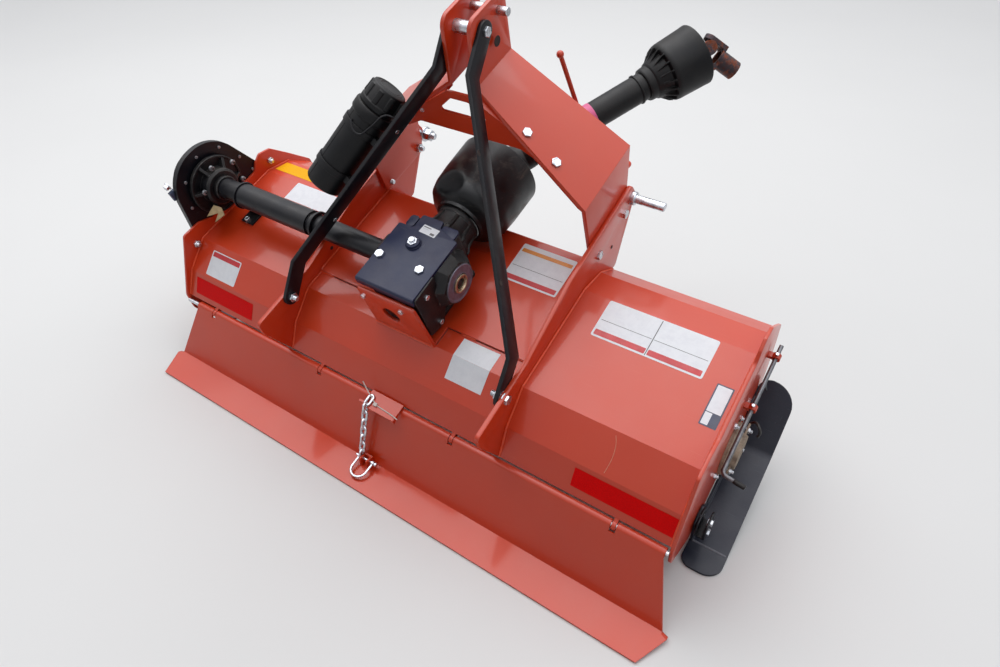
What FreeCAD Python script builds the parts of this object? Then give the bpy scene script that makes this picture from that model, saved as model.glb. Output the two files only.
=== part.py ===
import FreeCAD, Part

import math
import os
import re

from FreeCAD import Placement, Rotation, Vector

# A rear tiller for a small tractor, in millimetres. +X is the machine's right, +Y its front.
# The pieces are laid out round the rotor's axis (x along it, y forward, z up, as in work)
# and at the end leaned back to the pose in which the machine stands parked.

SIZES = (
    # name, value, what it is
    ("inner_width", 1524, "between the end plates"),
    ("end_plate", 8, "thickness of an end plate"),
    ("hood_sheet", 5, "thickness of the folded hood"),
    ("hood_top", 213, "top of the hood above the rotor's axis"),
    ("doubler_sheet", 6, "plate under the gearbox"),
    ("doubler_front", 219, "front edge of that plate, folded down to the hood"),
    ("doubler_rear", 103, "rear edge of that plate, behind the axis"),
    ("doubler_notch", 66, "half the width of its notch under the input shield"),
    ("gusset_outer", 341.5, "middle of the machine to the outer face of a gusset"),
    ("gusset_plate", 12, "thickness of a gusset"),
    ("gusset_rear_top", 256, "top of the gusset at its rear"),
    ("gusset_front_top", 308, "top of the gusset at its front"),
    ("mast_plate", 10, "thickness of the folded mast plates"),
    ("mast_gap", 58.6, "between the two mast plates"),
    ("mast_lower_fold", 416, "lower fold of a mast plate"),
    ("mast_upper_fold", 608, "upper fold of a mast plate"),
    ("mast_head", 137, "top of the mast above that fold"),
    ("mast_web", 6, "thickness of the cross web"),
    ("web_front", 250, "rear face of the cross web"),
    ("web_deep", 146, "cross web below the upper fold, at its ends"),
    ("web_reach", 190, "middle of the machine to an end of the web"),
    ("web_arch", 26, "rise of its lower edge in the middle"),
    ("window_low", 67, "window in the web, its lower edge below the upper fold"),
    ("window_high", 24, "its upper edge below that fold"),
    ("web_flange", 36, "depth of the flanges under the slanted plates"),
    ("web_flange_long", 150, "length of those flanges"),
    ("brace_bolt_forward", 335, "upper bolt of the braces"),
    ("brace_bolt_above", 98, "that bolt above the upper fold"),
    ("brace_foot_back", 214, "lower bolt of the braces, behind the axis"),
    ("brace_foot_down", 13, "that bolt below the top of the gusset"),
    ("brace_bar", 10, "thickness of a brace"),
    ("brace_wide", 45, "width of a brace"),
    ("spacer_radius", 15, "tube between the mast plates"),
    ("top_pin_forward", 400, "upper hitch pin"),
    ("top_pin_above", 104, "upper hitch pin above the upper fold"),
    ("top_pin_radius", 9.5, "category 1 upper pin"),
    ("lower_pin_forward", 392, "lower hitch pins"),
    ("lower_pin_down", 37, "lower hitch pins below the gusset's front top"),
    ("lower_pin_radius", 11, "category 1 lower pin"),
    ("lower_pin_reach", 88, "pin past the gusset"),
    ("pin_collar_radius", 17, "collar against the gusset"),
    ("pin_collar", 12, "thickness of that collar"),
    ("drive_rise", 89, "gearbox shafts above the plate under the gearbox"),
    ("drive_back", 28, "side shaft behind the rotor's axis"),
    ("gearbox_half", 72, "half the width of the gearbox"),
    ("gearbox_front", 62, "front of the gearbox"),
    ("gearbox_rear", 140, "rear of the gearbox, behind the axis"),
    ("gearbox_high", 66, "top of the gearbox above its shafts"),
    ("cover_sheet", 8, "thickness of the cover plate"),
    ("cover_half", 85, "half the width of the cover plate"),
    ("cover_overhang", 15, "cover plate behind the gearbox, folded down there"),
    ("cover_fold", 20, "height of that fold"),
    ("base_sheet", 12, "gearbox base"),
    ("base_half", 92, "half the width of the gearbox base"),
    ("boss_radius", 50, "side boss of the gearbox"),
    ("boss_end", 110, "end of a side boss"),
    ("boss_bore", 21, "recess in the right boss"),
    ("neck_radius", 56, "input neck"),
    ("neck_end", 128, "front of the input neck"),
    ("bracket_sheet", 8, "rear bracket of the gearbox"),
    ("bracket_left", 84, "left edge of that bracket"),
    ("bracket_right", 98, "right edge of its foot"),
    ("bracket_drop", 24, "its top below the top of the cover plate"),
    ("bracket_hole", 24, "hole in that bracket"),
    ("shield_radius", 105, "input shield"),
    ("shield_wall", 4, "wall of the shield"),
    ("shield_front", 320, "open front of the shield"),
    ("shield_rear", 134, "rear of the shield"),
    ("input_shaft", 17.5, "radius of the input shaft"),
    ("tube_radius", 29, "side shaft tube"),
    ("sleeve_radius", 34, "wider stretch of that tube"),
    ("sleeve_inner_end", 370, "end of the wide stretch towards the gearbox"),
    ("sleeve_outer_gap", 122, "its other end to the end plate"),
    ("housing_radius", 84, "bearing housing at the left end plate"),
    ("housing_hub", 53, "hub of that housing"),
    ("housing_rim", 10, "rim of that housing"),
    ("housing_deep", 37, "housing from the end plate inwards"),
    ("housing_rib", 8, "thickness of a rib"),
    ("spigot_radius", 66, "spigot over the edge of the end plate"),
    ("spigot_clearance", 1, "spigot to the end plate's dip"),
    ("case_flange", 16, "flange of the left gear case"),
    ("case_deep", 58, "that case from the end plate outwards"),
    ("case_inset", 30, "case inside the edge of its flange"),
    ("case_top_radius", 118, "upper round of the flange"),
    ("case_low_half", 88, "half the width of its lower end"),
    ("case_shoulder", 145, "height up to which its flanks spread"),
    ("case_front_flank", 22.8, "angle of its front flank"),
    ("case_rear_flank", 11.6, "angle of its rear flank"),
    ("rotor_swing", 180, "radius of the rotor over the tines"),
    ("rotor_tube", 36.5, "radius of the rotor tube"),
    ("rotor_end_gap", 14, "end flange of the rotor to the end plate"),
    ("rotor_journal", 20, "radius of the rotor's journals"),
    ("journal_clearance", 0.4, "round the journals"),
    ("flange_radius", 88, "tine flanges"),
    ("flange_sheet", 8, "thickness of a tine flange"),
    ("flange_margin", 117, "outer tine flanges to the end plates"),
    ("tine_wide", 40, "width of a tine"),
    ("tine_bar", 8, "thickness of a tine"),
    ("tine_foot", 75, "foot of a tine along the rotor"),
    ("tine_bend", 34, "outer radius of a tine's bend"),
    ("hub_radius", 48, "right bearing"),
    ("hub_deep", 30, "right bearing past the end plate"),
    ("hub_flange", 66, "flange of the right bearing"),
    ("hub_flange_sheet", 9, "thickness of that flange"),
    ("skid_wide", 91, "width of a skid shoe"),
    ("skid_sheet", 6, "thickness of a skid"),
    ("skid_drop", 118, "underside of the skids below the axis"),
    ("skid_rear_fold", 205, "rear fold of a skid, behind the axis"),
    ("skid_front_fold", 70, "front fold of a skid"),
    ("skid_pad", 70, "length of the rear pad"),
    ("skid_corner", 30, "rounded corners of the shoe"),
    ("skid_nose", 180, "length of the raised nose"),
    ("skid_web_top", 96, "top of the skid's web below the axis"),
    ("skid_ear_top", 20, "top of its ears below the axis"),
    ("hinge_offset", 17, "hinge axis past the hood's rear edge"),
    ("hinge_rod", 6, "radius of the hinge rod"),
    ("rod_clearance", 0.7, "round the hinge rod"),
    ("curl_radius", 11, "curl of the tailgate round the rod"),
    ("lug_wide", 10, "width of a hinge lug"),
    ("lug_gap", 2, "between a hinge lug and the curl"),
    ("lug_margin", 122, "outer lugs to the end plates"),
    ("lug_inner", 215, "middle of the machine to the inner lugs"),
    ("tailgate_sheet", 5, "thickness of the tailgate"),
    ("tailgate_panel", 172, "hinge to fold"),
    ("tailgate_lip", 88, "fold to edge"),
    ("tailgate_fold", 61.5, "angle of the fold"),
    ("tailgate_shift", 22, "middle of the tailgate right of the machine's"),
    ("tailgate_short", 28, "its corners at the hinge inside the end plates"),
    ("tailgate_fold_over", 22, "its corners at the fold past the end plates"),
    ("tailgate_edge_over", 36, "its corners at the edge past the end plates"),
    ("tailgate_chamfer", 40, "cut corners of the lip"),
    ("tab_wide", 100, "chain tab on the hood"),
    ("tab_deep", 48, "tab past the hood's edge"),
    ("tab_sheet", 6, "thickness of the tab"),
    ("tab_right_end", 63, "right end of the tab"),
    ("chain_x", -25, "where the chain hangs on the tab"),
    ("slot_deep", 22, "slot in the tab's rear edge"),
    ("slot_play", 3, "slot wider than a link's wire"),
    ("chain_wire", 5.5, "wire of a link"),
    ("link_play", 0.3, "slack between two links"),
    ("lug_x", -2, "middle of the channel at the fold"),
    ("chain_lug_half", 13, "half the width of that channel"),
    ("chain_lug_sheet", 5, "its thickness"),
    ("chain_lug_high", 26, "its height"),
    ("shackle_bar", 6.5, "bar of the shackle"),
    ("shackle_half", 22.5, "half the width of the shackle"),
    ("shackle_leg", 28, "straight leg of the shackle"),
    ("shackle_pin_back", 12, "shackle pin behind the fold"),
    ("shackle_pin_height", 17, "shackle pin above the lip"),
    ("shackle_play", 0.4, "bow above the lip"),
    ("shaft_angle", 32.1, "driveline swung to the right"),
    ("shaft_rise", 6.5, "driveline tipped up"),
    ("joint_forward", 305, "rear joint of the driveline"),
    ("cone_radius", 72, "rear cone of the driveline guard"),
    ("inner_guard", 30, "radius of the rear guard tube"),
    ("outer_guard", 36, "radius of the front guard tube"),
    ("guard_wall", 3.5, "wall of the guard tubes"),
    ("guard_play", 0.3, "guard bearings round the hubs"),
    ("profile_radius", 17, "shaft inside the guard"),
    ("outer_guard_start", 190, "front guard tube from the joint"),
    ("bell_start", 507, "bell from the joint"),
    ("bell_end", 602, "rim of the bell"),
    ("bell_radius", 80, "bell"),
    ("yoke_hub", 24, "hub of a yoke"),
    ("yoke_eye", 19, "eye of a yoke"),
    ("yoke_inside", 21, "middle of a joint to an eye"),
    ("yoke_ear", 12, "thickness of an eye"),
    ("yoke_length", 78, "joint to the end of a hub"),
    ("cross_arm", 8, "arms of a cross"),
    ("pto_bore", 17.46, "bore for a 1 3/8 in shaft"),
    ("canister_radius", 48, "document canister"),
    ("canister_pad", 20, "canister to the brace"),
    ("canister_start", 0.33, "its foot, as a share of the brace"),
    ("canister_long", 235, "canister below its cap"),
    ("cap_long", 55, "cap of the canister"),
    ("cap_lip", 4, "cap past the canister"),
    ("holder_rod", 6, "radius of the driveline holder"),
    ("pull_rod", 5, "radius of the rod at the right end"),
    ("pull_rod_out", 18, "that rod off the end plate"),
    ("pull_rod_front", 38, "its front end behind the end plate's front edge"),
    ("tube_bracket_in", 72, "angle under the side shaft, to the end plate"),
)

# Folds of the hood from front to rear: forward of the rotor's axis, below the top of the hood.
HOOD_FOLDS = (
    (270, 83),
    (211, 27),
    (132, 0),
    (-160, 0),
    (-246, 49),
    (-298, 107),
)

# Tine flanges, counted from the middle of the rotor.
FLANGES = (-3, -2, -1, 0, 1, 2, 3)
TINES_PER_FLANGE = 6
CHAIN_LINKS = 7

# Which way the tractor's yoke hangs, and the bends of the rod that carries the driveline.
YOKE_DROOP = (0.75, 0.2, -0.63)
HOLDER_BENDS = ((230, 495, 296), (116, 563, 296), (70, 565, 497))
TINE_STEP = 60.0 / len(FLANGES)

doc = FreeCAD.newDocument("tiller")
sheet = doc.addObject("Spreadsheet::Sheet", "sizes")
for row, (name, value, note) in enumerate(SIZES, start=1):
    sheet.set(f"A{row}", str(value))
    sheet.set(f"B{row}", note)
    sheet.setAlias(f"A{row}", name)
doc.recompute()

nodes = {}


def size(name):
    return float(sheet.get(name))


def bind(obj, prop, expression):
    """Ties a property to the sheet. Each plain word in the expression is a name in the sheet."""
    obj.setExpression(prop, re.sub(r"[a-z][a-z_]+", r"sizes.\g<0>", expression))


def keep(name, obj):
    """Makes an object one of the machine's pieces."""
    obj.Label = name
    nodes[name] = obj
    return obj


def unit(u, v):
    span = math.hypot(u, v)
    return u / span, v / span


def strip(points, thick):
    """Closed outline of a folded sheet. The points run along one face, the sheet lies left of them."""
    normals = []
    for (u0, v0), (u1, v1) in zip(points, points[1:]):
        along = unit(u1 - u0, v1 - v0)
        normals.append((-along[1], along[0]))
    far = []
    for i, (u, v) in enumerate(points):
        before = normals[max(i - 1, 0)]
        after = normals[min(i, len(normals) - 1)]
        mid = unit(before[0] + after[0], before[1] + after[1])
        reach = thick / (mid[0] * after[0] + mid[1] * after[1])
        far.append((u + mid[0] * reach, v + mid[1] * reach))
    return list(points) + far[::-1]


def outline(corners):
    """Lines round the corners (u, v) or (u, v, radius), with an arc where there is a radius."""
    spans = []
    count = len(corners)
    for i, corner in enumerate(corners):
        here = Vector(corner[0], corner[1], 0)
        before = Vector(*corners[i - 1][:2], 0)
        after = Vector(*corners[(i + 1) % count][:2], 0)
        radius = corner[2] if len(corner) > 2 else 0
        if not radius:
            spans.append((here, None, here))
            continue
        back = (before - here).normalize()
        ahead = (after - here).normalize()
        half = back.getAngle(ahead) / 2
        cut = radius / math.tan(half)
        middle = here + (back + ahead).normalize() * (radius / math.sin(half) - radius)
        spans.append((here + back * cut, middle, here + ahead * cut))
    geometry = []
    for i, (start, middle, end) in enumerate(spans):
        if middle is not None:
            geometry.append(Part.Arc(start, middle, end))
        geometry.append(Part.LineSegment(end, spans[(i + 1) % count][0]))
    return geometry


def prism(name, plane, geometry, start, length, holes=()):
    """A padded sketch. YZ faces the right, XY faces up, and XZ faces the rear, so it starts at -y."""
    body = doc.addObject("PartDesign::Body", name)
    sketch = body.newObject("Sketcher::SketchObject", name + "_sketch")
    face = next(feature for feature in body.Origin.OriginFeatures if feature.Role == plane + "_Plane")
    sketch.AttachmentSupport = (face, "")
    sketch.MapMode = "FlatFace"
    bind(sketch, "AttachmentOffset.Base.z", start)
    for curve in outline(geometry):
        sketch.addGeometry(curve, False)
    for u, v, radius in holes:
        sketch.addGeometry(Part.Circle(Vector(u, v, 0), Vector(0, 0, 1), radius), False)
    pad = body.newObject("PartDesign::Pad", name + "_pad")
    pad.Profile = sketch
    bind(pad, "Length", length)
    body.Tip = pad
    return body


def turned(name, profile, centre=Vector(), axis=Vector(0, 0, 1)):
    """A turned piece: (radius, place along the axis) round its half section."""
    body = doc.addObject("PartDesign::Body", name)
    sketch = body.newObject("Sketcher::SketchObject", name + "_sketch")
    face = next(feature for feature in body.Origin.OriginFeatures if feature.Role == "XZ_Plane")
    sketch.AttachmentSupport = (face, "")
    sketch.MapMode = "FlatFace"
    for curve in outline(profile):
        sketch.addGeometry(curve, False)
    revolution = body.newObject("PartDesign::Revolution", name + "_turn")
    revolution.Profile = sketch
    revolution.ReferenceAxis = (sketch, ["V_Axis"])
    revolution.Angle = 360
    body.Tip = revolution
    body.Placement = Placement(centre, Rotation(Vector(0, 0, 1), axis))
    return body


def cylinder(name, radius, length, centre, axis):
    rod = doc.addObject("Part::Cylinder", name)
    bind(rod, "Radius", radius)
    bind(rod, "Height", length)
    rod.Placement = Placement(centre, Rotation(Vector(0, 0, 1), axis))
    return rod


def fuse(name, *shapes):
    joined = doc.addObject("Part::MultiFuse", name)
    joined.Shapes = list(shapes)
    return joined


def cut(name, base, tool):
    left = doc.addObject("Part::Cut", name)
    left.Base = base
    left.Tool = tool
    return left


def common(name, *shapes):
    shared = doc.addObject("Part::MultiCommon", name)
    shared.Shapes = list(shapes)
    return shared


def solid(name, shape):
    feature = doc.addObject("Part::Feature", name)
    feature.Shape = shape
    return feature


def bent_rod(name, points, radius, bend):
    """A round bar through the points, each bend an arc of the same radius."""
    edges = []
    start = points[0]
    for before, here, after in zip(points, points[1:], points[2:]):
        back = (before - here).normalize()
        ahead = (after - here).normalize()
        half = back.getAngle(ahead) / 2
        reach = bend / math.tan(half)
        middle = here + (back + ahead).normalize() * (bend / math.sin(half) - bend)
        edges.append(Part.LineSegment(start, here + back * reach).toShape())
        edges.append(Part.Arc(here + back * reach, middle, here + ahead * reach).toShape())
        start = here + ahead * reach
    edges.append(Part.LineSegment(start, points[-1]).toShape())
    path = Part.Wire(edges)
    ring = Part.Wire(Part.makeCircle(radius, points[0], points[1] - points[0]))
    return solid(name, path.makePipeShell([ring], True, True))


RIGHT = Vector(1, 0, 0)
FORWARD = Vector(0, 1, 0)
half_width = size("inner_width") / 2
hood_folds = [(y, size("hood_top") - drop) for y, drop in HOOD_FOLDS]
plate_top = size("hood_top") + size("doubler_sheet")
drive_height = plate_top + size("drive_rise")
cover_seat = drive_height + size("gearbox_high")
mast_top = size("mast_upper_fold") + size("mast_head")
top_pin_height = size("mast_upper_fold") + size("top_pin_above")
brace_bolt_height = size("mast_upper_fold") + size("brace_bolt_above")
lower_pin_height = size("gusset_front_top") - size("lower_pin_down")
bracket_back = size("gearbox_rear") + size("cover_overhang") + 1
hinge_lugs = [side * reach for reach in (half_width - size("lug_margin"), size("lug_inner")) for side in (-1, 1)]


def hood():
    """Five flat panels folded from one sheet, with the lugs that carry the tailgate's rod."""
    shell = prism("hood_shell", "YZ", strip(hood_folds, size("hood_sheet")), "-inner_width / 2", "inner_width")
    lugs = []
    (edge_y, edge_z), along = hood_folds[-1], unit(*rear_slope())
    across = (along[1], -along[0])
    for x in hinge_lugs:
        lugs.append(hinge_lug(x, edge_y, edge_z, along, across))
    keep("hood", fuse("hood_welded", shell, *lugs))


def rear_slope():
    (y0, z0), (y1, z1) = hood_folds[-2:]
    return y1 - y0, z1 - z0


def hinge_axis():
    """Axis of the tailgate, in line with the hood's rear panel and past its edge."""
    y, z = hood_folds[-1]
    along = unit(*rear_slope())
    return y + along[0] * size("hinge_offset"), z + along[1] * size("hinge_offset")


def hinge_lug(x, edge_y, edge_z, along, across):
    """A lug that is welded under the hood's edge and goes round the rod."""
    hinge_y, hinge_z = hinge_axis()
    radius = size("curl_radius")
    inside = size("hood_sheet") + 8
    root = 30

    def at(start_y, start_z, back, out):
        return start_y - along[0] * back + across[0] * out, start_z - along[1] * back + across[1] * out

    corners = [
        at(edge_y, edge_z, root, 0), at(edge_y, edge_z, 0, 0), at(hinge_y, hinge_z, 0, 0.6 * radius),
        at(hinge_y, hinge_z, 0, -0.9 * radius), at(edge_y, edge_z, root, -inside),
    ]
    name = "hinge_lug_" + str(hinge_lugs.index(x) + 1)
    half = size("lug_wide") / 2
    tongue = Part.Face(Part.makePolygon([Vector(x - half, y, z) for y, z in corners + corners[:1]]))
    block = tongue.extrude(Vector(2 * half, 0, 0))
    eye = Part.makeCylinder(radius, 2 * half, Vector(x - half, hinge_y, hinge_z), RIGHT)
    bore = Part.makeCylinder(size("hinge_rod"), 2 * half, Vector(x - half, hinge_y, hinge_z), RIGHT)
    return solid(name, block.fuse(eye).cut(bore).removeSplitter())


def doubler():
    """Plate under the gearbox, from gusset to gusset, folded down in front, with a tongue behind."""
    low, rear, front = size("hood_top"), -size("doubler_rear"), size("doubler_front")
    sheet_deep = size("doubler_sheet")
    fold_y, fold_z = hood_folds[1]
    section = [
        (rear, low), (front - sheet_deep, low), (front - sheet_deep, fold_z + 1), (front, fold_z + 1),
        (front, plate_top, 8), (rear, plate_top),
    ]
    plate = prism("doubler_plate", "YZ", section, "gusset_plate - gusset_outer", "2 * (gusset_outer - gusset_plate)")
    left, right = size("bracket_left"), size("bracket_right")
    tongue = [(-left, rear), (right, rear), (right, -bracket_back), (-left, -bracket_back)]
    rest = prism("doubler_tongue", "XY", tongue, "hood_top", "doubler_sheet")
    half, deep = size("doubler_notch"), size("neck_end") - 4
    opening = prism(
        "doubler_opening", "XY", [(-half, front + 1), (-half, deep, 12), (half, deep, 12), (half, front + 1)],
        "0", "2 * hood_top",
    )
    keep("hood_doubler", cut("doubler", fuse("doubler_sheet_metal", plate, rest), opening))


def end_plate(side):
    """End plate with two ears that stand over the hood and a dip between them."""
    dip = drive_height - size("spigot_radius") - size("spigot_clearance")
    corners = [
        (-215, -75, 25),
        (250, -75, 40),
        (283, 60, 40),
        (283, 128, 12),
        (224, 205, 20),
        (178, dip + 21, 14),
        (138, dip + 34, 10),
        (112, dip + 21, 10),
        (92, dip, 16),
        (-96, dip - 3, 30),
        (-140, dip + 17, 20),
        (-198, dip + 19, 14),
        (-306, 112, 20),
        (-318, 52, 34),
    ]
    start = "inner_width / 2" if side > 0 else "-inner_width / 2 - end_plate"
    name = "end_plate_right" if side > 0 else "end_plate_left"
    shaft_hole = [(0, 0, 2 * size("rotor_journal"))]
    keep(name, prism(name, "YZ", corners, start, "end_plate", shaft_hole))


def gusset(side):
    """Long plate on edge over the whole hood, which carries the mast, a brace and a hitch pin."""
    rear, front = size("gusset_rear_top"), size("gusset_front_top")
    above = [
        (size("lower_pin_forward") + 22, lower_pin_height - 3, 16),
        (398, front, 18),
        (95, front - 8, 60),
        (-125, rear, 60),
        (-328, rear, 12),
        (-330, 218, 10),
    ]
    corners = list(hood_folds)[::-1] + [(286, 120, 14)] + above
    start = "gusset_outer - gusset_plate" if side > 0 else "-gusset_outer"
    name = "gusset_right" if side > 0 else "gusset_left"
    pin_hole = (size("lower_pin_forward"), lower_pin_height, size("lower_pin_radius"))
    keep(name, prism(name, "YZ", corners, start, "gusset_plate", [pin_hole]))


def mast_profile(side):
    """Folded mast plate from the front: up inside the gusset, slanted inwards, then up again."""
    outer = size("gusset_outer") - size("gusset_plate")
    inner = size("mast_gap") / 2 + size("mast_plate")
    points = [
        (outer, size("gusset_rear_top") - 28),
        (outer, size("mast_lower_fold")),
        (inner, size("mast_upper_fold")),
        (inner, mast_top),
    ]
    corners = strip(points, size("mast_plate"))
    return corners if side > 0 else [(-x, z) for x, z in corners]


def mast_plate(side):
    name = "mast_plate_right" if side > 0 else "mast_plate_left"
    folded = prism(name + "_folded", "XZ", mast_profile(side), "-440", "260")
    low = size("gusset_rear_top") - 28
    top_round = 30
    side_view = [
        (200, low, 10),
        (196, size("mast_lower_fold"), 8),
        (274, size("mast_upper_fold"), 8),
        (size("brace_bolt_forward") - 36, mast_top, top_round),
        (size("top_pin_forward") + 34, mast_top, top_round),
        (419, size("mast_upper_fold"), 8),
        (415, size("mast_lower_fold"), 8),
        (376, low, 10),
    ]
    holes = [
        (size("top_pin_forward"), top_pin_height, size("top_pin_radius")),
    ]
    start = "0" if side > 0 else "-gusset_outer"
    trimmed = prism(name + "_side", "YZ", side_view, start, "gusset_outer", holes)
    keep(name, common(name, folded, trimmed))


def mast_web():
    """Cross web between the slanted plates, with a window and a flange bolted under each."""
    inner = size("mast_gap") / 2
    outer = size("gusset_outer") - size("gusset_plate")
    high = size("mast_upper_fold")
    low, arch = high - size("web_deep"), size("web_arch")
    fall = (size("mast_lower_fold") - high) / (outer - inner - size("mast_plate"))
    lean = math.atan(fall)
    under = size("mast_plate") / math.cos(lean)

    def underside(x):
        return high - under + fall * (x - inner - size("mast_plate"))

    reach = size("web_reach")
    corners = [
        (-reach, low), (-reach * 0.75, low + arch, 20), (reach * 0.75, low + arch, 20), (reach, low),
        (reach, underside(reach)), (inner, underside(inner)), (-inner, underside(inner)), (-reach, underside(reach)),
    ]
    plate = prism("web_plate", "XZ", corners, "-web_front - mast_web", "mast_web")
    sill, lintel = high - size("window_low"), high - size("window_high")
    window = prism(
        "web_window", "XZ",
        [(-72, sill, 6), (72, sill, 6), (24, lintel, 6), (-24, lintel, 6)],
        "-web_front - mast_web", "mast_web",
    )
    pieces = [cut("web_cut", plate, window)]
    for side in (1, -1):
        flange = doc.addObject("Part::Box", "web_flange_right" if side > 0 else "web_flange_left")
        bind(flange, "Length", "web_flange_long")
        bind(flange, "Width", "web_flange")
        bind(flange, "Height", "mast_web")
        turn = lean if side > 0 else -lean
        near = inner + 13
        far = near + size("web_flange_long") * math.cos(lean)
        base_x = near if side > 0 else -far
        base_z = underside(near) if side > 0 else underside(far)
        drop = Vector(math.sin(turn), 0, -math.cos(turn)) * size("mast_web")
        corner = Vector(base_x, size("web_front"), base_z) + drop
        flange.Placement = Placement(corner, Rotation(Vector(0, 1, 0), -math.degrees(turn)))
        pieces.append(flange)
    keep("mast_web", fuse("web_welded", *pieces))


def mast_pins():
    """Spacer tube at the braces' bolt and the upper hitch pin with its head."""
    inner = size("mast_gap") / 2
    at_spacer = Vector(-inner, size("brace_bolt_forward"), brace_bolt_height)
    keep("mast_spacer", cylinder("spacer", "spacer_radius", "mast_gap", at_spacer, RIGHT))
    reach = inner + size("mast_plate") + 16
    radius = size("top_pin_radius")
    profile = [(0, 0), (radius + 5, 0), (radius + 5, 8), (radius, 8), (radius, 2 * reach + 2, 1.5), (0, 2 * reach + 2)]
    at_pin = Vector(-reach + 8, size("top_pin_forward"), top_pin_height)
    keep("top_link_pin", turned("top_pin", profile, at_pin, RIGHT))


def brace_line():
    """Foot, length and lean of the straight line along a brace, seen from the side."""
    foot = Vector(0, -size("brace_foot_back"), size("gusset_rear_top") - size("brace_foot_down"))
    head = Vector(0, size("brace_bolt_forward"), brace_bolt_height)
    lean = math.degrees(math.atan2(head.z - foot.z, head.y - foot.y))
    return foot, (head - foot).Length, lean


def brace_bends():
    """The outer face of a right brace, from foot to head: out from the middle, along the brace."""
    long = brace_line()[1]
    low = size("gusset_outer") - size("gusset_plate")
    high = size("mast_gap") / 2 + size("mast_plate") + size("brace_bar")
    end = size("brace_wide") / 2
    return [(low, -end), (low, 0.13 * long), (high, 0.87 * long), (high, long + end)]


def brace(side):
    """Flat bar from the mast to the rear of the gusset, with two bends."""
    name = "brace_right" if side > 0 else "brace_left"
    foot, long, lean = brace_line()
    half = size("brace_wide") / 2
    corners = strip(brace_bends(), size("brace_bar"))
    if side < 0:
        corners = [(-x, y) for x, y in corners]
    bar = prism(name + "_bent", "XY", corners, "-brace_wide / 2", "brace_wide")
    round_end = 0.96 * half
    slot = [
        (-half, -half, round_end), (long + half, -half, round_end),
        (long + half, half, round_end), (-half, half, round_end),
    ]
    start = "0" if side > 0 else "-gusset_outer"
    ends = prism(name + "_ends", "YZ", slot, start, "gusset_outer")
    piece = common(name, bar, ends)
    piece.Placement = Placement(foot, Rotation(RIGHT, lean))
    keep(name, piece)


def canister():
    """Capped tube for papers, strapped to the left brace."""
    foot, long, lean = brace_line()
    bends = brace_bends()
    half = size("brace_bar") / 2
    low = Vector(-bends[1][0] + half, bends[1][1], 0)
    high = Vector(-bends[2][0] + half, bends[2][1], 0)
    along = (high - low).normalize()
    out = Vector(-along.y, along.x, 0)
    if out.x > 0:
        out = -out
    pad = size("canister_pad")
    span = (Vector(-bends[2][0], bends[2][1], 0) - Vector(-bends[1][0], bends[1][1], 0)).Length
    centre = low + along * (size("canister_start") * span) + out * (half + pad + size("canister_radius"))
    place = Placement(foot, Rotation(RIGHT, lean))
    start = place.multVec(centre)
    axis = place.Rotation.multVec(along)
    radius, long_tube, long_cap = size("canister_radius"), size("canister_long"), size("cap_long")
    wide = radius + size("cap_lip")
    tube = [(0, 0), (radius, 0, 5), (radius, long_tube), (0, long_tube)]
    keep("canister", turned("canister_tube", tube, start, axis))
    cap = [(0, 0), (radius, 0), (wide, 6), (wide, long_cap, 6), (0, long_cap)]
    keep("canister_cap", turned("canister_lid", cap, start + axis * long_tube, axis))
    bands = []
    inwards = place.Rotation.multVec(-out)
    for share in (0.22, 0.72):
        low_end = start + axis * (share * long_tube)
        ring = Part.makeCylinder(radius + 3, 16, low_end, axis)
        saddle = Part.makeBox(radius + pad, 24, 16)
        saddle.Placement = Placement(low_end, Rotation(inwards, Vector(), axis, "XZY"))
        saddle.translate(saddle.Placement.Rotation.multVec(Vector(0, -12, 0)))
        hole = Part.makeCylinder(radius, 16, low_end, axis)
        bands.append(ring.fuse(saddle).cut(hole).removeSplitter())
    keep("canister_straps", solid("straps", Part.makeCompound(bands)))


def lower_pin(side):
    """Hitch pin through the front of a gusset, with a collar on its outer face."""
    radius, collar = size("lower_pin_radius"), size("pin_collar_radius")
    inner = size("gusset_plate")
    start = size("gusset_outer") - inner
    profile = [
        (0, 0), (radius, 0), (radius, inner), (collar, inner), (collar, inner + size("pin_collar"), 2),
        (radius, inner + size("pin_collar")), (radius, inner + size("lower_pin_reach"), 2),
        (0, inner + size("lower_pin_reach")),
    ]
    centre = Vector(side * start, size("lower_pin_forward"), lower_pin_height)
    name = "lower_pin_right" if side > 0 else "lower_pin_left"
    keep(name, turned(name, profile, centre, RIGHT * side))


def gearbox():
    """Cast housing on its base, with a boss each side and the neck of the input shaft."""
    seat = "hood_top + doubler_sheet"
    half, rear, front = size("gearbox_half"), size("gearbox_rear"), size("gearbox_front")
    body = prism(
        "gearbox_block", "XY",
        [(-half, -rear, 14), (half, -rear, 14), (half, front, 14), (-half, front, 14)],
        seat, "drive_rise + gearbox_high",
    )
    wide = size("base_half")
    base = prism(
        "gearbox_base", "XY",
        [(-wide, -size("doubler_rear") + 4, 10), (wide, -size("doubler_rear") + 4, 10),
         (wide, front + 30, 10), (-wide, front + 30, 10)],
        seat, "base_sheet",
    )
    boss_at = Vector(-size("boss_end"), -size("drive_back"), drive_height)
    boss = cylinder("gearbox_boss", "boss_radius", "2 * boss_end", boss_at, RIGHT)
    neck_at = Vector(0, 0, drive_height)
    neck = cylinder("gearbox_neck", "neck_radius", "neck_end", neck_at, FORWARD)
    recess_at = Vector(size("boss_end") - 9, -size("drive_back"), drive_height)
    recess = cylinder("gearbox_recess", "boss_bore", "boss_end", recess_at, RIGHT)
    joined = fuse("gearbox_joined", body, base, boss, neck)
    keep("gearbox", cut("gearbox", joined, recess))
    cover()


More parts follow.
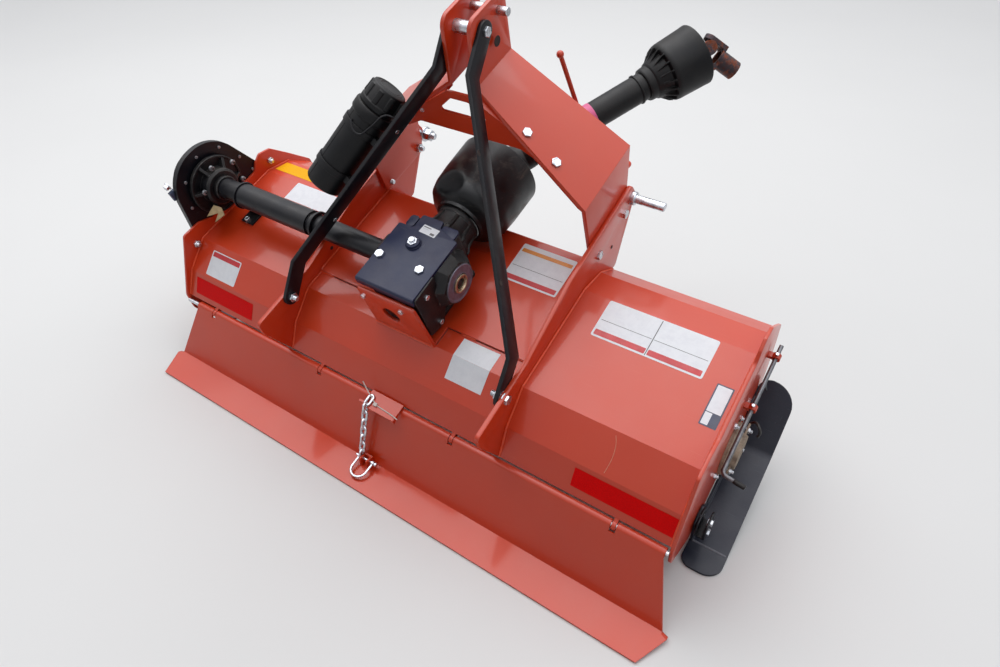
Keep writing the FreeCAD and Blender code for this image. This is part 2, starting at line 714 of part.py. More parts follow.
def cover():
    """Plate over the gearbox, folded down behind, with both front corners cut out."""
    wide, sheet_deep = size("cover_half"), size("cover_sheet")
    back, ahead = size("gearbox_rear") + size("cover_overhang"), size("gearbox_front") + 6
    top = cover_seat + sheet_deep
    section = [
        (-back, top - size("cover_fold")), (sheet_deep - back, top - size("cover_fold")), (sheet_deep - back, cover_seat),
        (ahead, cover_seat), (ahead, top), (-back, top, 7),
    ]
    folded = prism("cover_folded", "YZ", section, "-cover_half", "2 * cover_half")
    plan = [
        (-wide, -back), (wide, -back), (wide, ahead - 40, 3), (wide - 62, ahead - 20, 6), (wide - 66, ahead, 5),
        (-wide + 43, ahead, 5), (-wide + 43, ahead - 42, 6), (-wide, ahead - 42, 5),
    ]
    trimmed = prism("cover_plan", "XY", plan, "hood_top", "2 * (drive_rise + gearbox_high)")
    keep("gearbox_cover", common("cover_plate", folded, trimmed))


def gearbox_bracket():
    """Upright plate behind the gearbox, welded to the hood, with a round window."""
    stand = size("hood_top")
    left, right = size("bracket_left"), size("bracket_right")
    top = cover_seat + size("cover_sheet") - size("bracket_drop")
    hole = [(-6, drive_height - 22, size("bracket_hole"))]
    face = [(-left, stand), (right, stand), (right - 12, top, 12), (-left, top, 12)]
    plate = prism("bracket_plate", "XZ", face, str(bracket_back), "bracket_sheet", hole)
    keep("gearbox_bracket", plate)


def input_shield():
    """Open-fronted shield round the input shaft, seated on the gearbox's neck."""
    outer, wall = size("shield_radius"), size("shield_wall")
    neck, rear = size("neck_radius"), size("shield_rear") - size("neck_end")
    front = size("shield_front") - size("neck_end")
    flare = 6
    profile = [
        (neck, 0 - rear), (neck + 6, -rear), (neck + 6, 2), (outer, 34, 14), (outer + flare, front),
        (outer + flare - wall, front), (outer - wall, 34 + wall, 12), (neck + 2, 2 + wall), (neck, 2 + wall),
    ]
    centre = Vector(0, size("neck_end"), drive_height)
    keep("input_shield", turned("shield", profile, centre, FORWARD))


def side_drive():
    """Tube of the side shaft, its bearing housing and the gear case at the left end."""
    end = size("inner_width") / 2 - size("housing_deep")
    thin, wide = size("tube_radius"), size("sleeve_radius")
    inner, outer, first = size("sleeve_inner_end"), half_width - size("sleeve_outer_gap"), size("boss_end")
    profile = [
        (0, 0), (thin, 0), (thin, inner - first), (wide, inner - first), (wide, outer - first),
        (thin, outer - first), (thin, end - first), (0, end - first),
    ]
    centre = Vector(-first, -size("drive_back"), drive_height)
    keep("side_shaft_tube", turned("side_tube", profile, centre, -RIGHT))
    bearing_housing(end)
    flange = prism("case_flange", "YZ", case_outline(0), "-inner_width / 2 - end_plate - case_flange", "case_flange")
    body = prism(
        "case_body", "YZ", case_outline(size("case_inset")),
        "-inner_width / 2 - end_plate - case_deep", "case_deep - case_flange",
    )
    bore_at = Vector(-half_width - size("end_plate") - 22, 0, 0)
    bore = cylinder("case_bore", "rotor_journal + journal_clearance", "case_deep", bore_at, RIGHT)
    keep("gear_case", cut("case", fuse("case_block", flange, body), bore))


def bearing_housing(end):
    """Housing of the side shaft's outer bearing: a hub, six ribs with pockets between, and a raised rim."""
    deep, rim = size("housing_deep"), size("housing_rim")
    hub, radius = size("housing_hub"), size("housing_radius")
    plate = deep + size("end_plate")
    bell = [
        (0, 0), (hub - 6, 0), (hub, 6), (hub, deep - 5), (radius - 6, deep - 5), (radius - 6, deep - rim),
        (radius, deep - rim, 2), (radius, deep), (size("spigot_radius"), deep), (size("spigot_radius"), plate),
        (0, plate),
    ]
    at_end = Vector(-end, -size("drive_back"), drive_height)
    pieces = [turned("housing_bell", bell, at_end, -RIGHT)]
    rib = size("housing_rib")
    foot = -(end + deep - 6)
    for step in range(6):
        blade = Part.Face(Part.makePolygon([
            Vector(-(end + 8), 0, hub - 4), Vector(foot, 0, hub - 4), Vector(foot, 0, radius - 5),
            Vector(-(end + deep - rim), 0, radius - 5), Vector(-(end + 8), 0, hub - 4),
        ])).extrude(Vector(0, rib, 0))
        blade.translate(Vector(0, -rib / 2, 0))
        blade.rotate(Vector(), RIGHT, 60 * step + 12)
        blade.translate(Vector(0, -size("drive_back"), drive_height))
        pieces.append(solid(f"housing_rib_{step + 1}", blade))
    keep("bearing_housing", fuse("housing", *pieces))


def case_outline(inset):
    """Gear case from the side: round at the top, on flanks that spread and then close on the rotor."""
    radius = size("case_top_radius") - inset
    middle, top = -size("drive_back"), drive_height + radius
    low, shoulder = size("case_low_half") - inset, size("case_shoulder")
    corners = [(-low, -low, 0.9 * low), (low, -low, 0.9 * low), (low, shoulder - 110, 0.5 * low)]
    for side, flank in ((1, size("case_front_flank")), (-1, size("case_rear_flank"))):
        reach = radius * math.tan(math.radians(90 - flank) / 2)
        spread = math.tan(math.radians(flank)) * (top - shoulder)
        pair = [
            (middle + side * (reach + spread), shoulder, 50), (middle + side * reach, top, 0.97 * radius),
        ]
        corners += pair if side > 0 else pair[::-1]
    return corners + [(-low, shoulder - 110, 0.5 * low)]


def right_bearing():
    """Flanged bearing of the rotor outside the right end plate."""
    start = half_width + size("end_plate")
    sheet_deep, deep = size("hub_flange_sheet"), size("hub_deep")
    bore = size("rotor_journal") + size("journal_clearance")
    profile = [
        (bore, 0), (size("hub_flange"), 0), (size("hub_flange"), sheet_deep, 2), (size("hub_radius"), sheet_deep),
        (size("hub_radius") - 6, deep), (0, deep), (0, deep - 6), (bore, deep - 6),
    ]
    keep("rotor_bearing", turned("right_hub", profile, Vector(start, 0, 0), RIGHT))


def tine_blank(hand):
    """An L-shaped tine that points up, with its foot towards +X or -X."""
    swing, bar = size("rotor_swing"), size("tine_bar")
    bend, foot = size("tine_bend"), size("tine_foot")
    start = size("rotor_tube") + 14
    face = hand * size("flange_sheet") / 2
    section = [
        (face, start), (face + hand * bar, start), (face + hand * bar, swing - bar, bend - bar),
        (face + hand * foot, swing - bar - 3), (face + hand * foot, swing + 4), (face, swing + 4, bend),
    ]
    wire = Part.Wire([curve.toShape() for curve in outline(section)])
    wide = size("tine_wide")
    blank = Part.Face(wire).extrude(Vector(0, 0, wide))
    blank.translate(Vector(0, 0, -wide / 2))
    blank.rotate(Vector(), RIGHT, 90)
    return blank


def rotor():
    """Tube with journals, flanges and bolted tines, staggered from flange to flange."""
    half = half_width - size("rotor_end_gap")
    tube = Part.makeCylinder(size("rotor_tube"), 2 * half, Vector(-half, 0, 0), RIGHT)
    reach = half_width + size("end_plate") + 20
    journal = Part.makeCylinder(size("rotor_journal"), 2 * reach, Vector(-reach, 0, 0), RIGHT)
    swing = Part.makeCylinder(size("rotor_swing"), 2 * half, Vector(-half, 0, 0), RIGHT)
    tines = {hand: tine_blank(hand).common(swing) for hand in (1, -1)}
    pieces = [journal]
    sheet_deep = size("flange_sheet")
    for end in (-half, half - sheet_deep):
        pieces.append(Part.makeCylinder(1.7 * size("rotor_tube"), sheet_deep, Vector(end, 0, 0), RIGHT))
    pitch = (half_width - size("flange_margin")) / max(FLANGES)
    for place in FLANGES:
        x = place * pitch
        pieces.append(Part.makeCylinder(size("flange_radius"), sheet_deep, Vector(x - sheet_deep / 2, 0, 0), RIGHT))
        for count in range(TINES_PER_FLANGE):
            tine = tines[1 if count % 2 else -1].copy()
            tine.rotate(Vector(), RIGHT, count * 360 / TINES_PER_FLANGE + place * TINE_STEP - park_tilt())
            tine.translate(Vector(x, 0, 0))
            pieces.append(tine)
    keep("rotor", solid("rotor_shape", tube.fuse(pieces).removeSplitter()))


def skid(side):
    """Skid shoe with a raised nose and a rear pad, on a web bolted to the end plate."""
    drop, rear, front = size("skid_drop"), size("skid_rear_fold"), size("skid_front_fold")
    lean = math.radians(park_tilt())
    nose = math.radians(38)
    points = [
        (-rear - size("skid_pad") * math.cos(lean), -drop + size("skid_pad") * math.sin(lean)),
        (-rear, -drop),
        (front, -drop),
        (front + size("skid_nose") * math.cos(nose), -drop + size("skid_nose") * math.sin(nose)),
    ]
    name = "skid_right" if side > 0 else "skid_left"
    start = "inner_width / 2 + end_plate" if side > 0 else "-inner_width / 2 - end_plate - skid_wide"
    folded = prism(name + "_folded", "YZ", strip(points, size("skid_sheet")), start, "skid_wide")
    near, far = half_width + size("end_plate"), half_width + size("end_plate") + size("skid_wide")
    corner, back, ahead = size("skid_corner"), points[0][0] - 2, points[-1][0] + 1
    plan = [(side * near, back), (side * far, back, corner), (side * far, ahead, corner), (side * near, ahead)]
    trimmed = prism(name + "_plan", "XY", plan, "-2 * skid_drop", "2 * skid_drop")
    shoe = common(name + "_shoe", folded, trimmed)
    low = -drop + size("skid_sheet") / 2
    web, ear = -size("skid_web_top"), -size("skid_ear_top")
    upright = [
        (-rear, low), (front, low), (front + 60, low + 47), (front + 96, ear, 10), (front + 60, ear, 10),
        (front + 34, web, 12), (-rear + 92, web, 12), (-rear + 60, ear, 10), (-rear + 10, ear, 10),
    ]
    start = "inner_width / 2 + end_plate" if side > 0 else "-inner_width / 2 - end_plate - skid_sheet"
    plate = prism(name + "_web", "YZ", upright, start, "skid_sheet")
    keep(name, fuse(name, shoe, plate))


def hinge_line():
    hinge_y, hinge_z = hinge_axis()
    start = Vector(-half_width, hinge_y, hinge_z)
    keep("hinge_rod", cylinder("hinge_pin", "hinge_rod", "inner_width", start, RIGHT))


def tailgate_angle():
    """Slope of the tailgate's panel below the level of the machine, with its lip on the floor."""
    hinge_y, hinge_z = hinge_axis()
    lean = math.radians(park_tilt())
    height = hinge_y * math.sin(lean) + hinge_z * math.cos(lean) + size("rotor_swing")
    edge_y, edge_z = tailgate_face()[0]
    span = math.hypot(edge_y, edge_z)
    return math.degrees(math.asin(height / span) + math.atan2(edge_z, -edge_y)) - park_tilt()


def tailgate_face():
    """Inner face of the tailgate from its edge to the hinge, with the panel level."""
    under = size("curl_radius") - size("tailgate_sheet")
    panel, lip = size("tailgate_panel"), size("tailgate_lip")
    fold = math.radians(size("tailgate_fold"))
    return [(-panel - lip * math.cos(fold), under + lip * math.sin(fold)), (-panel, under), (0, under)]


def tailgate_place():
    hinge_y, hinge_z = hinge_axis()
    return Placement(Vector(0, hinge_y, hinge_z), Rotation(RIGHT, tailgate_angle()))


def tailgate():
    """Folded door whose upper edge is curled round the hinge rod between the lugs."""
    face = tailgate_face()
    curl, bore = size("curl_radius"), size("hinge_rod") + size("rod_clearance")
    edge_half = half_width + size("tailgate_edge_over")
    wide = edge_half + abs(size("tailgate_shift"))
    corners = strip(face, size("tailgate_sheet"))
    door = Part.Face(Part.makePolygon([Vector(-wide, y, z) for y, z in corners + corners[:1]]))
    door = door.extrude(Vector(2 * wide, 0, 0)).fuse(Part.makeCylinder(curl, 2 * wide, Vector(-wide, 0, 0), RIGHT))
    door = door.cut(Part.makeCylinder(bore, 2 * wide, Vector(-wide, 0, 0), RIGHT))
    shift, chamfer = size("tailgate_shift"), size("tailgate_chamfer")
    edge, fold = face[0][0], face[1][0]
    top_half = half_width - size("tailgate_short")
    half = [
        (top_half, 2 * curl), (top_half, -curl), (half_width + size("tailgate_fold_over"), fold),
        (edge_half, edge + chamfer), (edge_half - chamfer, edge - 1),
    ]
    plan = [(shift + x, y) for x, y in half] + [(shift - x, y) for x, y in half[::-1]]
    blank = Part.Face(Part.makePolygon([Vector(x, y, -200) for x, y in plan + plan[:1]])).extrude(Vector(0, 0, 400))
    door = door.common(blank)
    notch = size("lug_wide") + 2 * size("lug_gap")
    reach = curl + size("lug_gap")
    for x in hinge_lugs:
        door = door.cut(Part.makeBox(notch, 2 * reach, 2 * reach, Vector(x - notch / 2, -reach, -reach)))
    piece = solid("door", door.removeSplitter())
    piece.Placement = tailgate_place()
    keep("tailgate", piece)


def chain_tab():
    """Tab that sticks out over the hinge, with a keeper under it and a gusset at its right end."""
    edge_y, edge_z = hood_folds[-1]
    wide, deep, thick = size("tab_wide"), size("tab_deep"), size("tab_sheet")
    left = size("tab_right_end") - wide
    plate = Part.makeBox(wide, deep, thick, Vector(left, edge_y - deep, edge_z))
    gap = size("chain_wire") + size("slot_play")
    slot = Part.makeBox(gap, size("slot_deep"), thick, Vector(size("chain_x") - gap / 2, edge_y - deep, edge_z))
    keeper = Part.makeBox(58, 6, 4, Vector(left - 20, edge_y - deep + 8, edge_z - 4))
    corner = size("tab_right_end")
    rib = Part.Face(Part.makePolygon([
        Vector(corner - 5, edge_y - deep, edge_z), Vector(corner - 5, edge_y - deep + 26, edge_z),
        Vector(corner - 5, edge_y - deep, edge_z - 10), Vector(corner - 5, edge_y - deep, edge_z),
    ])).extrude(Vector(5, 0, 0))
    keep("chain_tab", solid("tab", plate.cut(slot).fuse([keeper, rib]).removeSplitter()))


def ring_link(centre, along, across, inner_long, inner_wide, wire):
    """One oval link: its length along one direction, its width across."""
    bend = inner_wide / 2 + wire / 2
    straight = inner_long / 2 + wire / 2 - bend
    spans = []
    for sign in (1, -1):
        middle = centre + along * (straight * sign)
        begin, finish = middle + across * (bend * sign), middle - across * (bend * sign)
        spans.append(Part.Arc(begin, middle + along * (bend * sign), finish).toShape())
        spans.append(Part.LineSegment(finish, finish - along * (2 * straight * sign)).toShape())
    path = Part.Wire(spans)
    ring = Part.Wire(Part.makeCircle(wire / 2, centre + along * straight + across * bend, along))
    return path.makePipeShell([ring], True, True)


def fold_frame():
    """At the tailgate's outer fold, level while the machine is parked."""
    corner = strip(tailgate_face(), size("tailgate_sheet"))[4]
    at_fold = tailgate_place().multVec(Vector(size("lug_x"), corner[0], corner[1]))
    return Placement(at_fold, Rotation(RIGHT, -park_tilt()))


def shackle_line():
    """Middle of the shackle's pin and the way its bow points, down onto the lip."""
    reach = size("shackle_leg") + size("shackle_half")
    high = size("shackle_pin_height")
    fall = math.asin((high - size("shackle_bar") / 2 - size("shackle_play")) / reach)
    return Vector(0, -size("shackle_pin_back"), high), Vector(0, -math.cos(fall), -math.sin(fall))


def shackle():
    """Channel welded on at the tailgate's fold, and the bow shackle pinned through it."""
    pin_at, way = shackle_line()
    half_lug, cheek, high = size("chain_lug_half"), size("chain_lug_sheet"), size("chain_lug_high")
    deep = 2 * size("shackle_pin_back")
    bar, half, leg = size("shackle_bar") / 2, size("shackle_half"), size("shackle_leg")
    channel = Part.makeBox(2 * half_lug, deep, high, Vector(-half_lug, -deep, 0))
    inside = Part.makeBox(2 * (half_lug - cheek), deep - cheek, high, Vector(cheek - half_lug, -deep, 0))
    bore = Part.makeCylinder(bar, 2 * half_lug, pin_at - RIGHT * half_lug, RIGHT)
    keep("chain_lug", solid("lug", channel.cut(inside).cut(bore).removeSplitter()))
    long_pin = half + 10
    pieces = [Part.makeCylinder(bar, 2 * long_pin, pin_at - RIGHT * long_pin, RIGHT)]
    pieces.append(Part.makeCylinder(1.7 * bar, 5, pin_at + RIGHT * (long_pin - 3), RIGHT))
    for sign in (1, -1):
        pieces.append(Part.makeCylinder(bar, leg, pin_at + RIGHT * (sign * half), way))
        pieces.append(Part.makeCylinder(1.8 * bar, 2 * bar, pin_at + RIGHT * (sign * half - bar), RIGHT))
    centre = pin_at + way * leg
    bow = Part.Wire(Part.Arc(centre + RIGHT * half, centre + way * half, centre - RIGHT * half).toShape())
    ring = Part.Wire(Part.makeCircle(bar, centre + RIGHT * half, way))
    hook = bow.makePipeShell([ring], True, True)
    keep("chain_shackle", solid("shackle_bow", hook.fuse(pieces).removeSplitter()))
    for name in ("chain_lug", "chain_shackle"):
        nodes[name].Placement = fold_frame()


def chain():
    """A link that lies on the tab, one that hangs in its slot, and a straight run to the shackle."""
    edge_y, edge_z = hood_folds[-1]
    wire, play = size("chain_wire"), size("link_play")
    wide = 1.5 * wire
    hang_y = edge_y - size("tab_deep") + size("slot_deep") - 3 * wire
    hang = Vector(size("chain_x"), hang_y, edge_z + size("tab_sheet"))
    top = hang + Vector(0, 0, wire + 2 * play)
    pin_at = shackle_line()[0]
    beside_lug = (size("chain_lug_half") + size("shackle_half") - size("shackle_bar") / 2) / 2
    hook = fold_frame().multVec(pin_at - RIGHT * beside_lug)
    along = (hook - top).normalize()
    reach = (hook - top).Length + size("shackle_bar") / 2
    inner = (reach - (CHAIN_LINKS - 1) * play) / CHAIN_LINKS
    side = along.cross(RIGHT).normalize()
    over = along.cross(side).normalize()
    flat = hang + Vector(0, inner / 2 + wire / 2, wire / 2 + play)
    links = [ring_link(flat, FORWARD, RIGHT, inner, wide, wire)]
    for place in range(CHAIN_LINKS):
        centre = top + along * (inner / 2 + place * (inner + play))
        links.append(ring_link(centre, along, over if place % 2 else side, inner, wide, wire))
    keep("chain", solid("links", Part.makeCompound(links)))


def tube_bracket():
    """Small angle under the side shaft, bolted to the hood."""
    left = size("tube_bracket_in") - half_width
    under = drive_height - size("tube_radius") - size("hood_top")
    foot = Part.makeBox(48, 49, 4, Vector(left, -60, size("hood_top")))
    upright = Part.makeBox(48, 4, 0.6 * under, Vector(left, -15, size("hood_top")))
    keep("tube_bracket", solid("tube_angle", foot.fuse(upright).removeSplitter()))


def shaft_direction():
    swing, rise = math.radians(size("shaft_angle")), math.radians(size("shaft_rise"))
    return Vector(math.sin(swing) * math.cos(rise), math.cos(swing) * math.cos(rise), math.sin(rise))


def joint_centre():
    return Vector(0, size("joint_forward"), drive_height)


def yoke(name, centre, hub_way, ear_way, hub_long, bore=None):
    """A fork: its hub runs hub_way from the joint's centre, its two eyes lie on the ear_way axis."""
    eye, inside, outside = size("yoke_eye"), size("yoke_inside"), size("yoke_inside") + size("yoke_ear")
    root = eye + 20
    hub = Part.makeCylinder(size("yoke_hub"), hub_long - root, Vector(0, 0, root))
    bridge = Part.makeBox(2 * outside, 1.9 * eye, 8, Vector(-outside, -0.95 * eye, root))
    parts = [bridge]
    for sign in (1, -1):
        low = inside if sign > 0 else -outside
        arm = Part.makeBox(outside - inside, 1.9 * eye, root, Vector(low, -0.95 * eye, 0))
        round_end = Part.makeCylinder(0.95 * eye, outside - inside, Vector(low, 0, 0), RIGHT)
        parts += [arm, round_end]
    fork = hub.fuse(parts)
    fork = fork.cut(Part.makeCylinder(size("cross_arm"), 2 * outside, Vector(-outside, 0, 0), RIGHT))
    if bore:
        fork = fork.cut(Part.makeCylinder(bore, hub_long, Vector(0, 0, root - 1)))
    piece = solid(name + "_fork", fork.removeSplitter())
    piece.Placement = Placement(centre, Rotation(ear_way, Vector(), hub_way, "ZXY"))
    return keep(name, piece)


def cross(name, centre, first, second):
    """Four-armed cross between two yokes, round a square block."""
    reach, half = size("yoke_inside") + size("yoke_ear"), 1.5 * size("cross_arm")
    arms = [Part.makeCylinder(size("cross_arm"), 2 * reach, -way * reach, way) for way in (RIGHT, FORWARD)]
    middle = Part.makeBox(2 * half, 2 * half, 2 * half, Vector(-half, -half, -half))
    piece = solid(name + "_arms", middle.fuse(arms).removeSplitter())
    piece.Placement = Placement(centre, Rotation(first, second, Vector(), "XYZ"))
    keep(name, piece)


def driveline():
    """Guarded telescoping shaft, swung to the right and held up on its rest."""
    way, centre = shaft_direction(), joint_centre()
    plane = FORWARD.cross(way).normalize()
    hub = size("yoke_length")
    shaft_end = centre.y - hub
    start = Vector(0, size("neck_end"), drive_height)
    keep("input_shaft", cylinder("input_stub", "input_shaft", str(shaft_end - size("neck_end")), start, FORWARD))
    yoke("rear_yoke_input", centre, -FORWARD, plane, hub)
    second = plane.cross(way).normalize()
    yoke("rear_yoke_shaft", centre, way, second, hub)
    cross("rear_cross", centre, plane, second)
    wall, inner, outer = size("guard_wall"), size("inner_guard"), size("outer_guard")
    grip = size("yoke_hub") + size("guard_play")
    cone = size("cone_radius")
    rear_end = size("bell_start") - 70
    rear = [
        (cone, 12, 2), (inner + 5, 82, 4), (inner + 5, 100), (inner, 100), (inner, rear_end), (inner - wall, rear_end),
        (inner - wall, hub + 6), (grip, hub + 6), (grip, hub - 6), (inner, hub - 8), (cone - wall, 12),
    ]
    keep("driveline_rear_guard", turned("rear_guard", rear, centre, way))
    inner_long = rear_end - hub - 20
    keep("driveline_inner_shaft", cylinder("inner_shaft", "profile_radius", str(inner_long), centre + way * hub, way))
    first, last, radius = size("bell_start"), size("bell_end"), size("bell_radius")
    collar = first - 61
    tube = [(outer, size("outer_guard_start"), 1), (outer, collar), (outer - wall, collar),
            (outer - wall, size("outer_guard_start"))]
    keep("driveline_front_guard", turned("front_guard", tube, centre, way))
    bell = [
        (outer - wall, collar), (outer + 5, collar, 2), (outer + 10, first), (radius - 6, first + 5, 6),
        (radius, last), (radius - wall, last), (radius - 6 - wall, first + 5 + wall, 5), (grip, first + 5 + wall),
        (grip, first), (outer - wall, first),
    ]
    keep("driveline_bell", turned("bell", bell, centre, way))
    tip = centre + way * (last + 30)
    outer_start = size("outer_guard_start") + 60
    profile = size("profile_radius")
    length = last + 30 - hub - outer_start
    bore, shell = profile + 1, size("yoke_hub")
    sleeve = [(bore, 0), (shell, 0), (shell, length), (0, length), (0, length - 20), (bore, length - 20)]
    keep("driveline_outer_shaft", turned("outer_shaft", sleeve, centre + way * outer_start, way))
    droop = Vector(*YOKE_DROOP).normalize()
    plane = way.cross(droop).normalize()
    second = plane.cross(droop).normalize()
    yoke("front_yoke_shaft", tip, -way, plane, hub)
    yoke("front_yoke_tractor", tip, droop, second, hub + 22, size("pto_bore"))
    cross("front_cross", tip, plane, second)


def driveline_holder():
    """Bent rod on the right mast plate, on which the driveline lies while parked."""
    face = size("gusset_outer") - size("gusset_plate") - size("mast_plate")
    radius = size("holder_rod")
    seat = size("mast_lower_fold") - 66
    points = [Vector(face - radius, 380, seat), Vector(face - radius, 440, seat - 20)]
    points += [Vector(*point) for point in HOLDER_BENDS]
    rod = bent_rod("holder_bar", points, radius, 15)
    ball = doc.addObject("Part::Sphere", "holder_knob")
    ball.Radius = 1.6 * radius
    ball.Placement = Placement(points[-1], Rotation())
    keep("driveline_holder", fuse("holder", rod, ball))


def pull_rod():
    """Rod with a turned handle, carried by two lugs on the right end plate."""
    face = half_width + size("end_plate")
    radius, out = size("pull_rod"), size("pull_rod_out")
    ahead = 283 - size("pull_rod_front")
    points = [Vector(face + out, ahead, 100), Vector(face + out, -105, 100), Vector(face + out + 52, -112, 100)]
    keep("pull_rod", bent_rod("pull_bar", points, radius, 12))
    lugs = []
    for y in (60, 205):
        leg = Part.makeBox(out, 14, 10, Vector(face, y, 95))
        eye = Part.makeCylinder(radius + 5, 14, Vector(face + out, y, 100), FORWARD)
        bore = Part.makeCylinder(radius, 14, Vector(face + out, y, 100), FORWARD)
        lugs.append(leg.fuse(eye).cut(bore).removeSplitter())
    keep("pull_rod_lugs", solid("rod_lugs", Part.makeCompound(lugs)))


def park_tilt():
    """Angle at which the machine leans back on the tips of its tines and the skids' rear pads."""
    back, drop = size("skid_rear_fold"), size("skid_drop")
    span = math.hypot(back, drop)
    return math.degrees(math.atan2(back, drop) - math.acos(size("rotor_swing") / span))


def build_all():
    hood()
    doubler()
    for side in (1, -1):
        end_plate(side)
        gusset(side)
        mast_plate(side)
        brace(side)
        lower_pin(side)
        skid(side)
    mast_web()
    mast_pins()
    canister()
    gearbox()
    gearbox_bracket()
    input_shield()
    side_drive()
    right_bearing()
    rotor()
    hinge_line()
    tailgate()
    chain_tab()
    shackle()
    chain()
    tube_bracket()
    driveline()
    driveline_holder()
    pull_rod()


def sound(obj):
    return not {"Invalid", "Error"} & set(obj.State)


def park():
    """Leans every piece back and puts the origin on the floor under the middle of the whole."""
    lean = Placement(Vector(0, 0, size("rotor_swing")), Rotation(RIGHT, park_tilt()))
    for piece in nodes.values():
        piece.Placement = lean.multiply(piece.Placement)
    doc.recompute()
    boxes = [piece.Shape.optimalBoundingBox(False) for piece in nodes.values()]
    middle_x = (min(box.XMin for box in boxes) + max(box.XMax for box in boxes)) / 2
    middle_y = (min(box.YMin for box in boxes) + max(box.YMax for box in boxes)) / 2
    shift = Placement(Vector(-middle_x, -middle_y, 0), Rotation())
    for piece in nodes.values():
        piece.Placement = shift.multiply(piece.Placement)
    doc.recompute()
    return middle_x, middle_y, min(box.ZMin for box in boxes)


def write_all():
    os.makedirs("parts", exist_ok=True)
    faulty = [obj.Name for obj in doc.Objects if not sound(obj)]
    faulty += [name for name, piece in nodes.items() if piece.Shape.isNull() or not piece.Shape.isValid()]
    if faulty:
        raise SystemExit("not built: " + ", ".join(faulty))
    for name, piece in nodes.items():
        piece.Shape.exportStep(f"parts/{name}.step")


build_all()
doc.recompute()
middle = park()
print("tilt", round(park_tilt(), 4), "shift", [round(value, 3) for value in middle])
write_all()
for name, piece in nodes.items():
    shape = piece.Shape
    print(name, len(shape.Solids), round(shape.Volume / 1000, 1), "cm3")
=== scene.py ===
import math

import bpy
from mathutils import Matrix, Vector


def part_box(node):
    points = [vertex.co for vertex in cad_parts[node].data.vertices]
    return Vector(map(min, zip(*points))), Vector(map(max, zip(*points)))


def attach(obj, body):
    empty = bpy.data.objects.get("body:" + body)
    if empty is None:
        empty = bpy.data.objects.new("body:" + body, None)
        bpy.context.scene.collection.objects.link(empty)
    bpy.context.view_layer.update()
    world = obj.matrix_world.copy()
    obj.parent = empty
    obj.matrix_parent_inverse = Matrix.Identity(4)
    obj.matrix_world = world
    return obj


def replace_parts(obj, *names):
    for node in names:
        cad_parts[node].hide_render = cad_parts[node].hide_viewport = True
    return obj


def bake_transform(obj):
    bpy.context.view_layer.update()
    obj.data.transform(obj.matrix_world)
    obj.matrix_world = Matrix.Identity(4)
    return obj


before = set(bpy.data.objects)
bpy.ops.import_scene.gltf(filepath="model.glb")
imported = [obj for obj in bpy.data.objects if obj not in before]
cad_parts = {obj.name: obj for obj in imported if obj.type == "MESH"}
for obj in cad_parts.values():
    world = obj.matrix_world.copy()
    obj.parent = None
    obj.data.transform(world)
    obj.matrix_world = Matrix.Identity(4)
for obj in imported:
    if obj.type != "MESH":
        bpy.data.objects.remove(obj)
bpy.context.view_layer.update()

MM = 0.001
LEAN = math.radians(19.626)
ROTOR_LOW, ROTOR_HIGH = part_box("rotor")
ROTOR = (ROTOR_LOW + ROTOR_HIGH) / 2
PARKED = Matrix.Translation((0, ROTOR.y, ROTOR.z)) @ Matrix.Rotation(LEAN, 4, "X")

RIGHT = Vector((1, 0, 0))
LEFT = Vector((-1, 0, 0))
AHEAD = Vector((0, 1, 0))
REAR = Vector((0, -1, 0))
UP = Vector((0, 0, 1))

# The machine's main places, as its solids have them.
GUSSET_OUTER = 341.5
HOOD_FOLDS = ((270, 130), (211, 186), (132, 213), (-160, 213), (-246, 164), (-298, 106))
PLATE_TOP = 219
COVER_TOP = 382
DRIVE_BACK = -28
DRIVE_HEIGHT = 308


def srgb(red, green, blue):
    """A colour as it is seen, 0 to 255, in the linear values that a shader takes."""
    def line(value):
        value /= 255
        return value / 12.92 if value <= 0.04045 else ((value + 0.055) / 1.055) ** 2.4
    return (line(red), line(green), line(blue), 1.0)


# Finishes


def node_group(name, inputs, outputs):
    """An empty shader group with its sockets: inputs are (name, default), outputs (name, kind)."""
    group = bpy.data.node_groups.new(name, "ShaderNodeTree")
    for label, value in inputs:
        socket = group.interface.new_socket(label, in_out="INPUT", socket_type="NodeSocketFloat")
        socket.default_value = value
    for label, kind in outputs:
        group.interface.new_socket(label, in_out="OUTPUT", socket_type=kind)
    return group, group.nodes.new("NodeGroupInput"), group.nodes.new("NodeGroupOutput")


def add(tree, kind, **values):
    """A node whose plain settings and inputs are given by name."""
    node = tree.nodes.new(kind)
    for key, value in values.items():
        if key in node.inputs:
            node.inputs[key].default_value = value
        else:
            setattr(node, key, value)
    return node


def feed(tree, value, socket):
    """Links a node's output to a socket, or sets the socket to a plain value."""
    if isinstance(value, bpy.types.NodeSocket):
        tree.links.new(value, socket)
    else:
        socket.default_value = value


def ramp_between(tree, value, low, high, to_low=0.0, to_high=1.0):
    """The value spread from low..high to to_low..to_high, and held at its ends."""
    node = tree.nodes.new("ShaderNodeMapRange")
    for socket, number in zip(node.inputs, (value, low, high, to_low, to_high)):
        feed(tree, number, socket)
    return node.outputs["Result"]


def combined(tree, operation, first, second):
    node = add(tree, "ShaderNodeMath", operation=operation)
    feed(tree, first, node.inputs[0])
    feed(tree, second, node.inputs[1])
    return node.outputs["Value"]


def times(tree, first, second):
    return combined(tree, "MULTIPLY", first, second)


